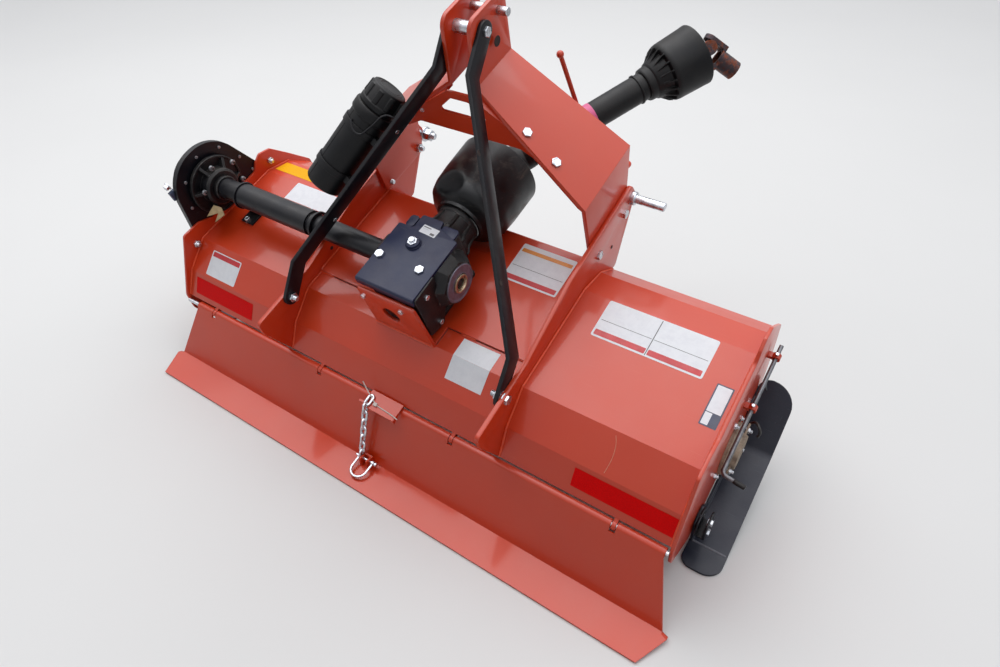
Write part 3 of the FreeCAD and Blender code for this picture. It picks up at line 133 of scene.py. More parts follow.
def noise(tree, scale, detail=3.0, rough=0.55, stretch=None, distortion=0.0):
    """Noise on the piece's own coordinates, in metres."""
    place = tree.nodes.new("ShaderNodeTexCoord").outputs["Object"]
    if stretch:
        mapping = add(tree, "ShaderNodeMapping", Scale=stretch)
        tree.links.new(place, mapping.inputs["Vector"])
        place = mapping.outputs["Vector"]
    node = add(tree, "ShaderNodeTexNoise", Detail=detail, Roughness=rough, Distortion=distortion)
    feed(tree, scale, node.inputs["Scale"])
    tree.links.new(place, node.inputs["Vector"])
    return node.outputs["Fac"]


def edge_wear_group():
    """Rubbed edges: where a rounded normal leaves the flat one, broken up by noise."""
    group, given, result = node_group(
        "edge_wear",
        [("Width", 0.002), ("Amount", 0.6)],
        [("Mask", "NodeSocketFloat"), ("Normal", "NodeSocketVector")],
    )
    bevel = add(group, "ShaderNodeBevel", samples=4)
    group.links.new(given.outputs["Width"], bevel.inputs["Radius"])
    geometry = group.nodes.new("ShaderNodeNewGeometry")
    dot = add(group, "ShaderNodeVectorMath", operation="DOT_PRODUCT")
    group.links.new(bevel.outputs["Normal"], dot.inputs[0])
    group.links.new(geometry.outputs["Normal"], dot.inputs[1])
    edge = ramp_between(group, dot.outputs["Value"], 0.995, 0.90)
    broken = ramp_between(group, noise(group, 60, 4, 0.65), 0.48, 0.62)
    group.links.new(times(group, times(group, edge, broken), given.outputs["Amount"]), result.inputs["Mask"])
    group.links.new(bevel.outputs["Normal"], result.inputs["Normal"])
    return group


def dust_group():
    """Pale dust that settles on what faces up and gathers in patches."""
    group, given, result = node_group(
        "dust", [("Amount", 0.3), ("Patch", 9.0)], [("Mask", "NodeSocketFloat")]
    )
    geometry = group.nodes.new("ShaderNodeNewGeometry")
    split = group.nodes.new("ShaderNodeSeparateXYZ")
    group.links.new(geometry.outputs["Normal"], split.inputs["Vector"])
    up = ramp_between(group, split.outputs["Z"], 0.0, 0.9, 0.25, 1.0)
    clouds = ramp_between(group, noise(group, given.outputs["Patch"], 5.0, 0.62), 0.38, 0.75)
    specks = ramp_between(group, noise(group, 420, 2, 0.5), 0.45, 0.7, 0.55, 1.0)
    mask = times(group, times(group, up, clouds), times(group, specks, given.outputs["Amount"]))
    group.links.new(mask, result.inputs["Mask"])
    return group


def scratch_group():
    """Short fine scratches in two directions."""
    group, given, result = node_group("scratches", [("Amount", 0.5)], [("Mask", "NodeSocketFloat")])
    one = ramp_between(group, noise(group, 1, 2, 0.5, (18, 420, 420), 0.3), 0.70, 0.76)
    two = ramp_between(group, noise(group, 1, 2, 0.5, (380, 14, 60), 0.4), 0.72, 0.78)
    both = combined(group, "MAXIMUM", one, two)
    group.links.new(times(group, both, given.outputs["Amount"]), result.inputs["Mask"])
    return group


EDGE_WEAR = edge_wear_group()
DUST = dust_group()
SCRATCHES = scratch_group()


class Finish:
    """A material being mixed: a base colour and roughness, with effects laid over them."""

    def __init__(self, name, colour, roughness, metallic=0.0, **sockets):
        self.material = bpy.data.materials.new(name)
        self.material.use_nodes = True
        self.tree = self.material.node_tree
        self.shader = self.tree.nodes["Principled BSDF"].inputs
        self.now = {"Base Color": colour, "Roughness": roughness}
        sockets.update(Base_Color=colour, Roughness=roughness, Metallic=metallic)
        for key, value in sockets.items():
            self.shader[key.replace("_", " ")].default_value = value

    def group(self, shared, **values):
        node = self.tree.nodes.new("ShaderNodeGroup")
        node.node_tree = shared
        for key, value in values.items():
            node.inputs[key].default_value = value
        return node

    def blend(self, kind, name, first, result, mask, value, share):
        """Mixes a value into one of the shader's sockets where the mask is."""
        mix = add(self.tree, "ShaderNodeMix", data_type=kind)
        feed(self.tree, times(self.tree, mask, share), mix.inputs[0])
        feed(self.tree, self.now[name], mix.inputs[first])
        mix.inputs[first + 1].default_value = value
        self.now[name] = mix.outputs[result]
        self.tree.links.new(self.now[name], self.shader[name])
        return self

    def lay(self, mask, colour, share=1.0):
        """Mixes another colour in where the mask is."""
        return self.blend("RGBA", "Base Color", 6, 2, mask, colour, share)

    def rough(self, mask, value, share=1.0):
        """Moves the roughness towards a value where the mask is."""
        return self.blend("FLOAT", "Roughness", 2, 0, mask, value, share)

    def patches(self, low, high, pattern, colour=None, share=1.0, rough=None, metal=None):
        """Patches of noise, spread from low..high, with their own colour, roughness or metal."""
        mask = ramp_between(self.tree, noise(self.tree, *pattern), low, high)
        if colour:
            self.lay(mask, colour, share)
        if rough:
            self.rough(mask, rough)
        if metal:
            self.tree.links.new(ramp_between(self.tree, mask, 0, 1, *metal), self.shader["Metallic"])
        return self

    def bump(self, height, distance, strength=1.0):
        """Raises the surface by a height pattern, over whatever normal is there already."""
        node = add(self.tree, "ShaderNodeBump", Strength=strength, Distance=distance)
        self.tree.links.new(height, node.inputs["Height"])
        if "Normal" in self.now:
            self.tree.links.new(self.now["Normal"], node.inputs["Normal"])
        return self.facing(node.outputs["Normal"])

    def grain(self, distance, strength, *pattern):
        return self.bump(noise(self.tree, *pattern), distance, strength)

    def facing(self, normal):
        self.now["Normal"] = normal
        self.tree.links.new(normal, self.shader["Normal"])
        return self

    def soft_edges(self, width, colour=None, amount=0.6):
        """Rounds the edges in the light, and rubs them through to another colour."""
        wear = self.group(EDGE_WEAR, Width=width, Amount=amount).outputs
        self.facing(wear["Normal"])
        if colour:
            self.lay(wear["Mask"], colour).rough(wear["Mask"], 0.55)
        return self

    def dusty(self, amount, patch=9.0, colour=srgb(168, 156, 140)):
        mask = self.group(DUST, Amount=amount, Patch=patch).outputs["Mask"]
        return self.lay(mask, colour).rough(mask, 0.8)

    def scratched(self, amount, colour):
        mask = self.group(SCRATCHES, Amount=amount).outputs["Mask"]
        return self.lay(mask, colour).rough(mask, 0.5)


# Glossy orange-red powder coat with a faint orange peel, rubbed edges and dust.
ORANGE = (
    Finish("orange_paint", srgb(202, 56, 14), 0.34, Coat_Weight=0.36, Coat_Roughness=0.1, Specular_IOR_Level=0.36)
    .soft_edges(0.0022, srgb(232, 116, 76), 0.5)
    .patches(0.35, 0.65, (2.2, 3), srgb(188, 50, 12), 0.6)
    .patches(0.35, 0.7, (14, 4), rough=0.4)
    .scratched(0.08, srgb(226, 132, 100))
    .dusty(0.07, 5.0, srgb(186, 150, 128))
    .grain(0.0012, 0.05, 34, 2)
    .grain(0.0003, 0.1, 320, 2)
).material

# Blue-black enamel on bars and plates, dusty and scraped along its edges.
BLACK = (
    Finish("black_paint", srgb(9, 11, 19), 0.3, Specular_IOR_Level=0.28)
    .soft_edges(0.002, srgb(84, 86, 92), 0.45)
    .patches(0.4, 0.7, (30, 4), rough=0.44)
    .scratched(0.14, srgb(96, 96, 100))
    .dusty(0.09, 11.0)
    .grain(0.0004, 0.2, 180, 3)
).material

# The cover plate's black enamel, made deeper blue as a painted sheen.
COVER = (
    Finish("cover_paint_with_sheen", srgb(15, 24, 56), 0.36, Specular_IOR_Level=0.3)
    .soft_edges(0.002, srgb(88, 94, 106), 0.5)
    .patches(0.4, 0.7, (24, 4), rough=0.46)
    .scratched(0.16, srgb(132, 140, 156))
    .dusty(0.08, 14.0)
    .grain(0.0004, 0.2, 150, 3)
).material

# Black enamel over a sand casting.
CAST = (
    Finish("cast_paint", srgb(11, 12, 16), 0.36, Specular_IOR_Level=0.3)
    .soft_edges(0.003, srgb(118, 116, 112), 0.6)
    .patches(0.4, 0.7, (40, 4), rough=0.55)
    .dusty(0.1, 16.0)
    .grain(0.0012, 0.45, 320, 4)
).material

# Moulded black plastic with a fine grain and chalky handling marks.
PLASTIC = (
    Finish("black_plastic", srgb(7, 8, 12), 0.36, Specular_IOR_Level=0.24)
    .soft_edges(0.0025)
    .patches(0.35, 0.7, (22, 4), rough=0.5)
    .scratched(0.1, srgb(84, 82, 80))
    .dusty(0.13, 9.0, srgb(128, 120, 108))
    .grain(0.0003, 0.25, 1400, 2)
).material

# The input shield's plastic: scuffed pale where it has been knocked, polished between.
SHIELD_PLASTIC = (
    Finish("shield_plastic", srgb(10, 11, 14), 0.28, Specular_IOR_Level=0.36)
    .soft_edges(0.003, srgb(74, 72, 70), 0.5)
    .patches(0.56, 0.72, (11, 6, 0.7, (1.0, 1.0, 2.2), 0.6), srgb(98, 92, 82), 0.45, 0.62)
    .patches(0.35, 0.7, (26, 4), rough=0.44)
    .scratched(0.3, srgb(104, 102, 98))
    .grain(0.004, 0.25, 7, 3)
    .grain(0.0003, 0.2, 900, 2)
).material

# Bright zinc plate, slightly mottled.
ZINC = (
    Finish("zinc", srgb(206, 209, 214), 0.24, 1.0)
    .soft_edges(0.0008)
    .patches(0.42, 0.72, (90, 4), srgb(160, 164, 170))
    .patches(0.4, 0.7, (130, 3), rough=0.36)
    .dusty(0.06, 30.0)
    .grain(0.0002, 0.3, 700, 3)
).material

# Bare forged steel, rusted in patches and greasy where it turns.
RUSTY = (
    Finish("rusty_steel", srgb(58, 50, 54), 0.4, 0.6)
    .soft_edges(0.003)
    .patches(0.50, 0.62, (26, 6, 0.68), srgb(138, 66, 30), rough=0.85, metal=(0.7, 0.05))
    .patches(0.52, 0.66, (95, 5, 0.7), srgb(86, 38, 22), 0.8)
    .grain(0.0015, 0.6, 160, 6, 0.7)
).material

# The skids' black enamel, tinted blue as a painted reflection of the sky, dull and dusty where it is walked on.
SKID_PAINT_WITH_SKY_TINT = (
    Finish("skid_paint_with_sky_tint", srgb(12, 17, 34), 0.36, Specular_IOR_Level=0.4)
    .soft_edges(0.002, srgb(96, 100, 112), 0.5)
    .patches(0.4, 0.7, (16, 4), rough=0.5)
    .scratched(0.2, srgb(112, 116, 128))
    .dusty(0.1, 8.0, srgb(150, 152, 160))
    .grain(0.0005, 0.25, 120, 3)
).material

# Tines and their tube: thin black paint, chipped, with a film of shop dust.
TINE = (
    Finish("tine_steel", srgb(30, 29, 30), 0.5, 0.2)
    .soft_edges(0.003, srgb(120, 116, 110), 0.8)
    .patches(0.60, 0.66, (34, 6, 0.7), srgb(96, 84, 74))
    .dusty(0.2, 14.0)
    .grain(0.0008, 0.4, 240, 4)
).material


def plain(name, colour, roughness, metallic, second, bump=0.2, dust=0.12):
    """A small part's finish: its colour, a second tone in patches, a fine grain and dust."""
    return (
        Finish(name, srgb(*colour), roughness, metallic)
        .soft_edges(0.001)
        .patches(0.42, 0.66, (60, 5, 0.65), srgb(*second))
        .patches(0.4, 0.7, (80, 4), rough=min(1, roughness + 0.15))
        .dusty(dust, 16.0)
        .grain(0.0004, bump, 300, 3)
    ).material


def reflector_film(name, bright, deep):
    """Reflecting tape: small cells under a clear face."""
    film = Finish(name, srgb(*bright), 0.42, Specular_IOR_Level=0.06)
    cells = add(film.tree, "ShaderNodeTexVoronoi", Scale=420.0)
    place = film.tree.nodes.new("ShaderNodeTexCoord")
    film.tree.links.new(place.outputs["Object"], cells.inputs["Vector"])
    film.lay(ramp_between(film.tree, cells.outputs["Distance"], 0.25, 0.6), srgb(*deep), 0.5)
    film.patches(0.5, 0.8, (12, 4), srgb(*deep), 0.3).dusty(0.01, 20.0)
    return film.bump(cells.outputs["Distance"], 0.0003, 0.15).material


SEAL = plain("seal_ring", (112, 106, 122), 0.42, 0.3, (92, 86, 98))
BRONZE = plain("bronze_bore", (184, 166, 138), 0.3, 0.8, (132, 112, 88))
# Dark discs of painted shade, laid where a bore's hole and the screws' sockets lie in shade.
HOLE_SHADE = plain("painted_hole_shade", (12, 12, 13), 0.6, 0.0, (20, 19, 18))
SCREW_GREY = plain("screw_grey", (150, 152, 156), 0.32, 0.5, (112, 114, 118))
WELD_GREY = plain("weld_grey", (96, 98, 106), 0.45, 0.2, (70, 72, 80), 0.5)
TAN_TAG = plain("tan_tag", (176, 152, 112), 0.6, 0.0, (150, 126, 90))
BLUE_GREY = plain("blue_grey_block", (66, 78, 104), 0.4, 0.0, (52, 62, 86))
LABEL_WHITE = plain("label_white", (228, 230, 234), 0.4, 0.0, (221, 223, 228), 0.05, 0.02)
LABEL_FAINT = plain("label_faint", (196, 198, 204), 0.36, 0.0, (206, 208, 212), 0.05, 0.02)
LABEL_RED = plain("label_red", (196, 40, 48), 0.34, 0.0, (178, 34, 42), 0.05)
LABEL_NAVY = plain("label_navy", (28, 34, 62), 0.34, 0.0, (36, 42, 70), 0.05)
LABEL_ORANGE = plain("label_orange", (226, 142, 46), 0.34, 0.0, (212, 128, 40), 0.05)
LABEL_LINE = plain("label_line", (70, 68, 72), 0.4, 0.0, (96, 94, 96), 0.05)
RED_FILM = reflector_film("red_reflector", (226, 0, 2), (196, 0, 2))
YELLOW_FILM = reflector_film("yellow_reflector", (244, 182, 26), (214, 148, 14))
NYLON = plain("cable_tie_nylon", (214, 208, 200), 0.4, 0.0, (196, 190, 182))
PINK_TAPE = plain("pink_tape", (230, 104, 156), 0.4, 0.0, (214, 90, 140))
BRIGHT_STEEL = plain("rolled_steel", (112, 114, 118), 0.38, 0.8, (84, 84, 88))
BROWN_STEEL = plain("stained_steel", (158, 142, 122), 0.5, 0.15, (112, 96, 80))
TIE_BLACK = plain("black_clip", (24, 24, 26), 0.45, 0.0, (40, 40, 42))
# Weld beads in the orange paint, lighter than it as a painted highlight along them.
SEAM_WITH_HIGHLIGHT = plain("painted_weld_with_highlight", (222, 78, 34), 0.34, 0.0, (206, 64, 26), 0.4, 0.02)
SCRATCH = plain("scratched_primer", (222, 150, 122), 0.5, 0.0, (206, 122, 96))
SHADOW_GAP = plain("shadow_gap", (26, 10, 8), 0.7, 0.0, (18, 8, 6))

CAD_FINISH = (
    (ORANGE, (
        "hood", "hood_doubler", "end_plate_left", "end_plate_right", "gusset_left", "gusset_right",
        "mast_plate_left", "mast_plate_right", "mast_web", "gearbox_bracket", "tailgate", "chain_tab",
        "chain_lug", "pull_rod_lugs", "driveline_holder",
    )),
    (SKID_PAINT_WITH_SKY_TINT, ("skid_left", "skid_right")),
    (BLACK, ("brace_left", "brace_right", "side_shaft_tube", "gear_case", "tube_bracket")),
    (COVER, ("gearbox_cover",)),
    (BRIGHT_STEEL, ("pull_rod",)),
    (BROWN_STEEL, ("rotor_bearing",)),
    (CAST, ("gearbox", "bearing_housing")),
    (PLASTIC, (
        "input_shield", "driveline_bell", "driveline_front_guard", "driveline_rear_guard", "canister",
        "canister_cap", "canister_straps",
    )),
    (ZINC, (
        "mast_spacer", "top_link_pin", "lower_pin_left", "lower_pin_right", "chain", "chain_shackle",
        "hinge_rod",
    )),
    (RUSTY, (
        "front_yoke_shaft", "front_yoke_tractor", "rear_yoke_input", "rear_yoke_shaft", "front_cross",
        "rear_cross", "input_shaft", "driveline_inner_shaft", "driveline_outer_shaft",
    )),
    (TINE, ("rotor",)),
)


# Modelling helpers


def paint(obj, finish):
    obj.data.materials.clear()
    obj.data.materials.append(finish)
    return obj


def dress_solids():
    for finish, names in CAD_FINISH:
        for name in names:
            paint(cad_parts[name], finish)


def nothing_selected():
    if bpy.context.object and bpy.context.object.mode != "OBJECT":
        bpy.ops.object.mode_set(mode="OBJECT")
    bpy.ops.object.select_all(action="DESELECT")


def activate(piece):
    nothing_selected()
    piece.select_set(True)
    bpy.context.view_layer.objects.active = piece


def editing(piece):
    """Opens a piece in edit mode, with all of it selected."""
    activate(piece)
    bpy.ops.object.mode_set(mode="EDIT")
    bpy.ops.mesh.select_all(action="SELECT")


def outward():
    bpy.ops.mesh.select_all(action="SELECT")
    bpy.ops.mesh.normals_make_consistent(inside=False)


def done_editing():
    bpy.ops.object.mode_set(mode="OBJECT")


def facing_out(piece):
    """Turns a piece's normals outward where its parts were mirrored."""
    editing(piece)
    outward()
    done_editing()
    return piece


def pick(obj, wanted, edges=False):
    """Selects faces by centre and normal, or edges by their two ends, and leaves edit mode on them."""
    bpy.ops.object.mode_set(mode="OBJECT")
    bpy.context.tool_settings.mesh_select_mode = (False, edges, not edges)
    mesh = obj.data
    for part in (*mesh.vertices, *mesh.edges, *mesh.polygons):
        part.select = False
    if edges:
        for edge in mesh.edges:
            edge.select = bool(wanted(*(mesh.vertices[end].co for end in edge.vertices)))
    else:
        for face in mesh.polygons:
            face.select = bool(wanted(face.center, face.normal))
    bpy.ops.object.mode_set(mode="EDIT")


def turn_to(direction):
    """Rotation that takes z to a direction."""
    return UP.rotation_difference(Vector(direction)).to_matrix().to_4x4()


def copy_of(pattern, place):
    """A copy of a pattern piece with its own mesh, its place in the mesh."""
    copy = pattern.copy()
    copy.data = pattern.data.copy()
    copy.data.transform(place)
    bpy.context.scene.collection.objects.link(copy)
    return copy


def joined(name, pieces):
    activate(pieces[0])
    for piece in pieces:
        piece.select_set(True)
    if len(pieces) > 1:
        bpy.ops.object.join()
    pieces[0].name = pieces[0].data.name = name
    return pieces[0]


def park(piece, body):
    """Leans a finished piece back with the machine, in metres, and ties it to its body."""
    nothing_selected()
    piece.data.transform(PARKED @ Matrix.Scale(MM, 4))
    piece.matrix_world = Matrix.Identity(4)
    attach(piece, body)
    return piece


def made(name, finish, *parts, slot=None, body="frame"):
    """Parts joined as one piece, painted and parked."""
    return park(paint(joined(name, parts), finish), body)


def smooth(piece, angle=35):
    activate(piece)
    bpy.ops.object.shade_smooth_by_angle(angle=math.radians(angle))
    return piece


def axes(origin, u, v):
    """Frame at a point: u and v lie in the surface, and its third axis stands out of it."""
    u = Vector(u).normalized()
    w = u.cross(Vector(v)).normalized()
    place = Matrix((u, w.cross(u), w)).transposed().to_4x4()
    place.translation = Vector(origin)
    return place


def level(height):
    """Frame whose third axis points up at a height."""
    return axes((0, 0, height), RIGHT, AHEAD)


def wall(x):
    """Frame of (y, z) whose third axis points right at a distance."""
    return axes((x, 0, 0), AHEAD, UP)


def on_side_shaft(x):
    return axes((x, DRIVE_BACK, DRIVE_HEIGHT), AHEAD, UP)


def about_z(angle):
    return Matrix.Rotation(angle, 4, "Z")


FIN = axes((0, 0, 0), UP, RIGHT)


def drawn(points, fill_type):
    """A closed line or a flat face through points, open in edit mode."""
    nothing_selected()
    bpy.ops.mesh.primitive_circle_add(vertices=len(points), radius=1, fill_type=fill_type)
    piece = bpy.context.object
    for vertex, point in zip(piece.data.vertices, points):
        vertex.co = point
    editing(piece)
    return piece


def slab(corners, thick, place, corner=0.0, rim=0.0):
    """A plate with an outline of (u, v) corners, counter-clockwise, and rounded corners and rims."""
    plate = drawn([(u, v, 0) for u, v in corners], "NGON")
    if corner:
        bpy.ops.mesh.bevel(offset=corner, segments=5, affect="VERTICES")
    bpy.ops.mesh.extrude_region_move(TRANSFORM_OT_translate={"value": (0, 0, thick)})
    outward()
    if rim:
        pick(plate, lambda centre, normal: abs(normal.z) > 0.9)
        bpy.ops.mesh.bevel(offset=rim, segments=2)
    done_editing()
    plate.data.transform(place)
    return smooth(plate, 30)


def bar(u0, u1, v0, v1, thick, place, rim, corner=0.0):
    return slab(((u0, v0), (u1, v0), (u1, v1), (u0, v1)), thick, place, corner, rim)


def spokes(outline, thick, rim, hub, count, first=0.0):
    """Plates set round an axis; their outline runs along the axis and out from it."""
    middle = FIN @ Matrix.Translation((0, 0, -thick / 2))
    return [
        slab(outline, thick, hub @ about_z(first + math.tau * step / count) @ middle, 0, rim)
        for step in range(count)
    ]


def turned(section, place, steps=40):
    """A round piece: its section of (radius, height) points is spun about the frame's third axis."""
    piece = drawn([(radius, 0, height) for radius, height in section], "NOTHING")
    bpy.ops.mesh.spin(steps=steps, angle=math.tau, center=(0, 0, 0), axis=(0, 0, 1))
    bpy.ops.mesh.select_all(action="SELECT")
    bpy.ops.mesh.remove_doubles(threshold=0.005)
    bpy.ops.mesh.delete_loose(use_verts=True, use_edges=True, use_faces=False)
    outward()
    done_editing()
    piece.data.transform(place)
    return smooth(piece, 32)


def band(inner, side, crown, start, wide, place):
    """A raised ring round a tube, with both of its edges rounded off."""
    end = start + wide
    section = [(inner, start), (side, start), (crown, start + 1), (crown, end - 1), (side, end), (inner, end)]
    return turned(section, place, 48)


def wire(points, radius, turns=12):
    """A round wire or rod through a route; near a bend the route has points on both sides."""
    nothing_selected()
    bpy.ops.curve.primitive_nurbs_path_add()
    curve = bpy.context.object.data
    curve.splines.clear()
    spline = curve.splines.new("NURBS")
    spline.points.add(len(points) - 1)
    for point, place in zip(spline.points, points):
        point.co = (*place, 1)
    spline.order_u = 3
    spline.use_endpoint_u = True
    spline.resolution_u = 6
    curve.dimensions = "3D"
    curve.bevel_depth = radius
    curve.bevel_resolution = max(1, turns // 4 - 1)
    curve.use_fill_caps = True
    bpy.ops.object.convert(target="MESH")
    piece = bpy.context.object
    editing(piece)
    bpy.ops.mesh.remove_doubles(threshold=0.005)
    bpy.ops.mesh.normals_make_consistent(inside=False)
    done_editing()
    return smooth(piece, 50)


def weld(start, end, radius, out):
    """A welded seam: overlapping beads in a row from start to end, raised along out."""
    start, end = Vector(start), Vector(end)
    pitch = 0.62 * radius
    nothing_selected()
    bpy.ops.mesh.primitive_ico_sphere_add(subdivisions=2, radius=radius)
    bead = bpy.context.object
    editing(bead)
    bpy.ops.transform.resize(value=(1.15, 0.95, 0.62))
    done_editing()
    row = bead.modifiers.new("row", "ARRAY")
    row.count = max(2, int((end - start).length / pitch))
    row.use_relative_offset = False
    row.use_constant_offset = True
    row.constant_offset_displace = (pitch, 0, 0)
    bpy.ops.object.modifier_apply(modifier="row")
    along = (end - start).normalized()
    bead.data.transform(axes(start, along, Vector(out).cross(along)))
    return smooth(bead, 60)


def softened(node, width, finish, body="frame", angle=34):
    """A solid's own shape with its edges rounded, standing for the solid."""
    piece = bpy.data.objects.new("soft_" + node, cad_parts[node].data.copy())
    bpy.context.scene.collection.objects.link(piece)
    editing(piece)
    bpy.ops.mesh.remove_doubles(threshold=0.00002)
    bpy.ops.mesh.dissolve_limited(angle_limit=math.radians(0.8))
    done_editing()
    rounding = piece.modifiers.new("rounding", "BEVEL")
    rounding.width = width * MM
    rounding.segments = 2
    rounding.limit_method = "ANGLE"
    rounding.angle_limit = math.radians(angle)
    bpy.ops.object.modifier_apply(modifier="rounding")
    paint(smooth(piece, 30), finish)
    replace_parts(piece, node)
    if body:
        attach(piece, body)
    return piece


def softened_plates():
    for width, finish, slot, nodes in (
        (1.6, COVER, "black_paint", ("gearbox_cover",)),
        (1.4, ORANGE, "orange_paint", ("gearbox_bracket",)),
        (1.6, ORANGE, "orange_paint", ("end_plate_left", "end_plate_right")),
        (1.8, ORANGE, "orange_paint", ("gusset_left", "gusset_right", "mast_plate_left", "mast_plate_right")),
        (1.6, BLACK, "black_paint", ("brace_left", "brace_right")),
    ):
        for node in nodes:
            softened(node, width, finish)


# Fasteners


def rod(radius, low, high, sides):
    """A cylinder that stands on z from low to high."""
    nothing_selected()
    bpy.ops.mesh.primitive_cylinder_add(
        vertices=sides, radius=radius, depth=high - low, location=(0, 0, (low + high) / 2)
    )
    return bpy.context.object


def faces_up(centre, normal):
    return normal.z > 0.9


def hex_bolt(across, high, washer):
    """A hexagon head with a rounded crown and its washer, let into the surface by half the head."""
    radius = across / math.sqrt(3)
    thick = 0.16 * across
    head = rod(radius, thick, thick + high, 6)
    pick(head, faces_up)
    bpy.ops.mesh.inset(thickness=0.1 * radius, depth=0.1 * high)
    bpy.ops.mesh.inset(thickness=0.1 * radius)
    bpy.ops.mesh.inset(thickness=0.16 * radius, depth=-0.08 * high)
    pick(head, lambda a, b: abs(a.x - b.x) + abs(a.y - b.y) < 0.01, edges=True)
    bpy.ops.mesh.bevel(offset=0.03 * radius, segments=1)
    done_editing()
    disc = rod(washer / 2, 0, thick, 28)
    pick(disc, faces_up)
    bpy.ops.mesh.bevel(offset=0.35 * thick, segments=2)
    done_editing()
    return smooth(joined("hex_bolt_pattern", [head, disc]), 22)


def hex_nut(across, high, washer, stud):
    """A nut on its washer with the threaded end of its bolt standing out of it."""
    base = hex_bolt(across, high, washer)
    thick = 0.16 * across
    radius = 0.3 * across
    end = rod(radius, thick, thick + high + stud, 20)
    pick(end, faces_up)
    bpy.ops.mesh.inset(thickness=0.22 * radius, depth=0.18 * radius)
    done_editing()
    rings = []
    for turn in range(int(stud / 1.5)):
        nothing_selected()
        bpy.ops.mesh.primitive_torus_add(
            major_radius=radius, minor_radius=0.5, major_segments=20, minor_segments=6,
            location=(0, 0, thick + high + 1.0 + turn * 1.5),
        )
        rings.append(bpy.context.object)
    return smooth(joined("hex_nut_pattern", [base, end] + rings), 22)


def fasten(name, pattern, places, finish=ZINC, slot="zinc"):
    """Copies of one fastener at (x, y, z, direction, turn), joined as one piece in its stead."""
    copies = [
        copy_of(pattern, Matrix.Translation((x, y, z)) @ turn_to(way) @ about_z(math.radians(turn)))
        for x, y, z, way, turn in places
    ]
    bpy.data.objects.remove(pattern)
    made(name, finish, *copies, slot=slot)


SLANT = Vector((0.552, 0, 0.834))


def frame_fasteners():
    fasten("frame_bolts", hex_bolt(21, 10, 30), (
        (-69, -75, COVER_TOP, UP, 10), (50, -75, COVER_TOP, UP, 24),
        (GUSSET_OUTER, 353, 252, RIGHT, 12), (GUSSET_OUTER, 215, 249, RIGHT, 40), (GUSSET_OUTER, -214, 243, RIGHT, 5),
        (159.4, 263.4, 528.5, SLANT, 8), (234.4, 248.6, 479.0, SLANT, 31), (49.3, 335, 706, RIGHT, 18),
    ))
    fasten("frame_nuts", hex_nut(19, 11, 28, 8), (
        (-762, -184, 213, RIGHT, 14), (-762, 157, 233, RIGHT, 3), (-49.3, 335, 706, LEFT, 9),
    ))
    fasten("pin_nut", hex_nut(30, 18, 44, 13), ((-319.5, 416, 249, RIGHT, 5),))
    fasten("gusset_nuts", hex_nut(23, 13, 34, 11), (
        (-319.5, 363, 247, RIGHT, 25), (-329.5, 225, 241, RIGHT, 12), (-319.5, -214, 243, RIGHT, 33),
        (319.5, -214, 243, LEFT, 20),
    ))


# Gearbox


# The input shaft's frame, third axis ahead; it mirrors, so what is made in it is turned outward.
INPUT = axes((0, 0, DRIVE_HEIGHT), RIGHT, UP) @ Matrix.Scale(-1, 4, UP)


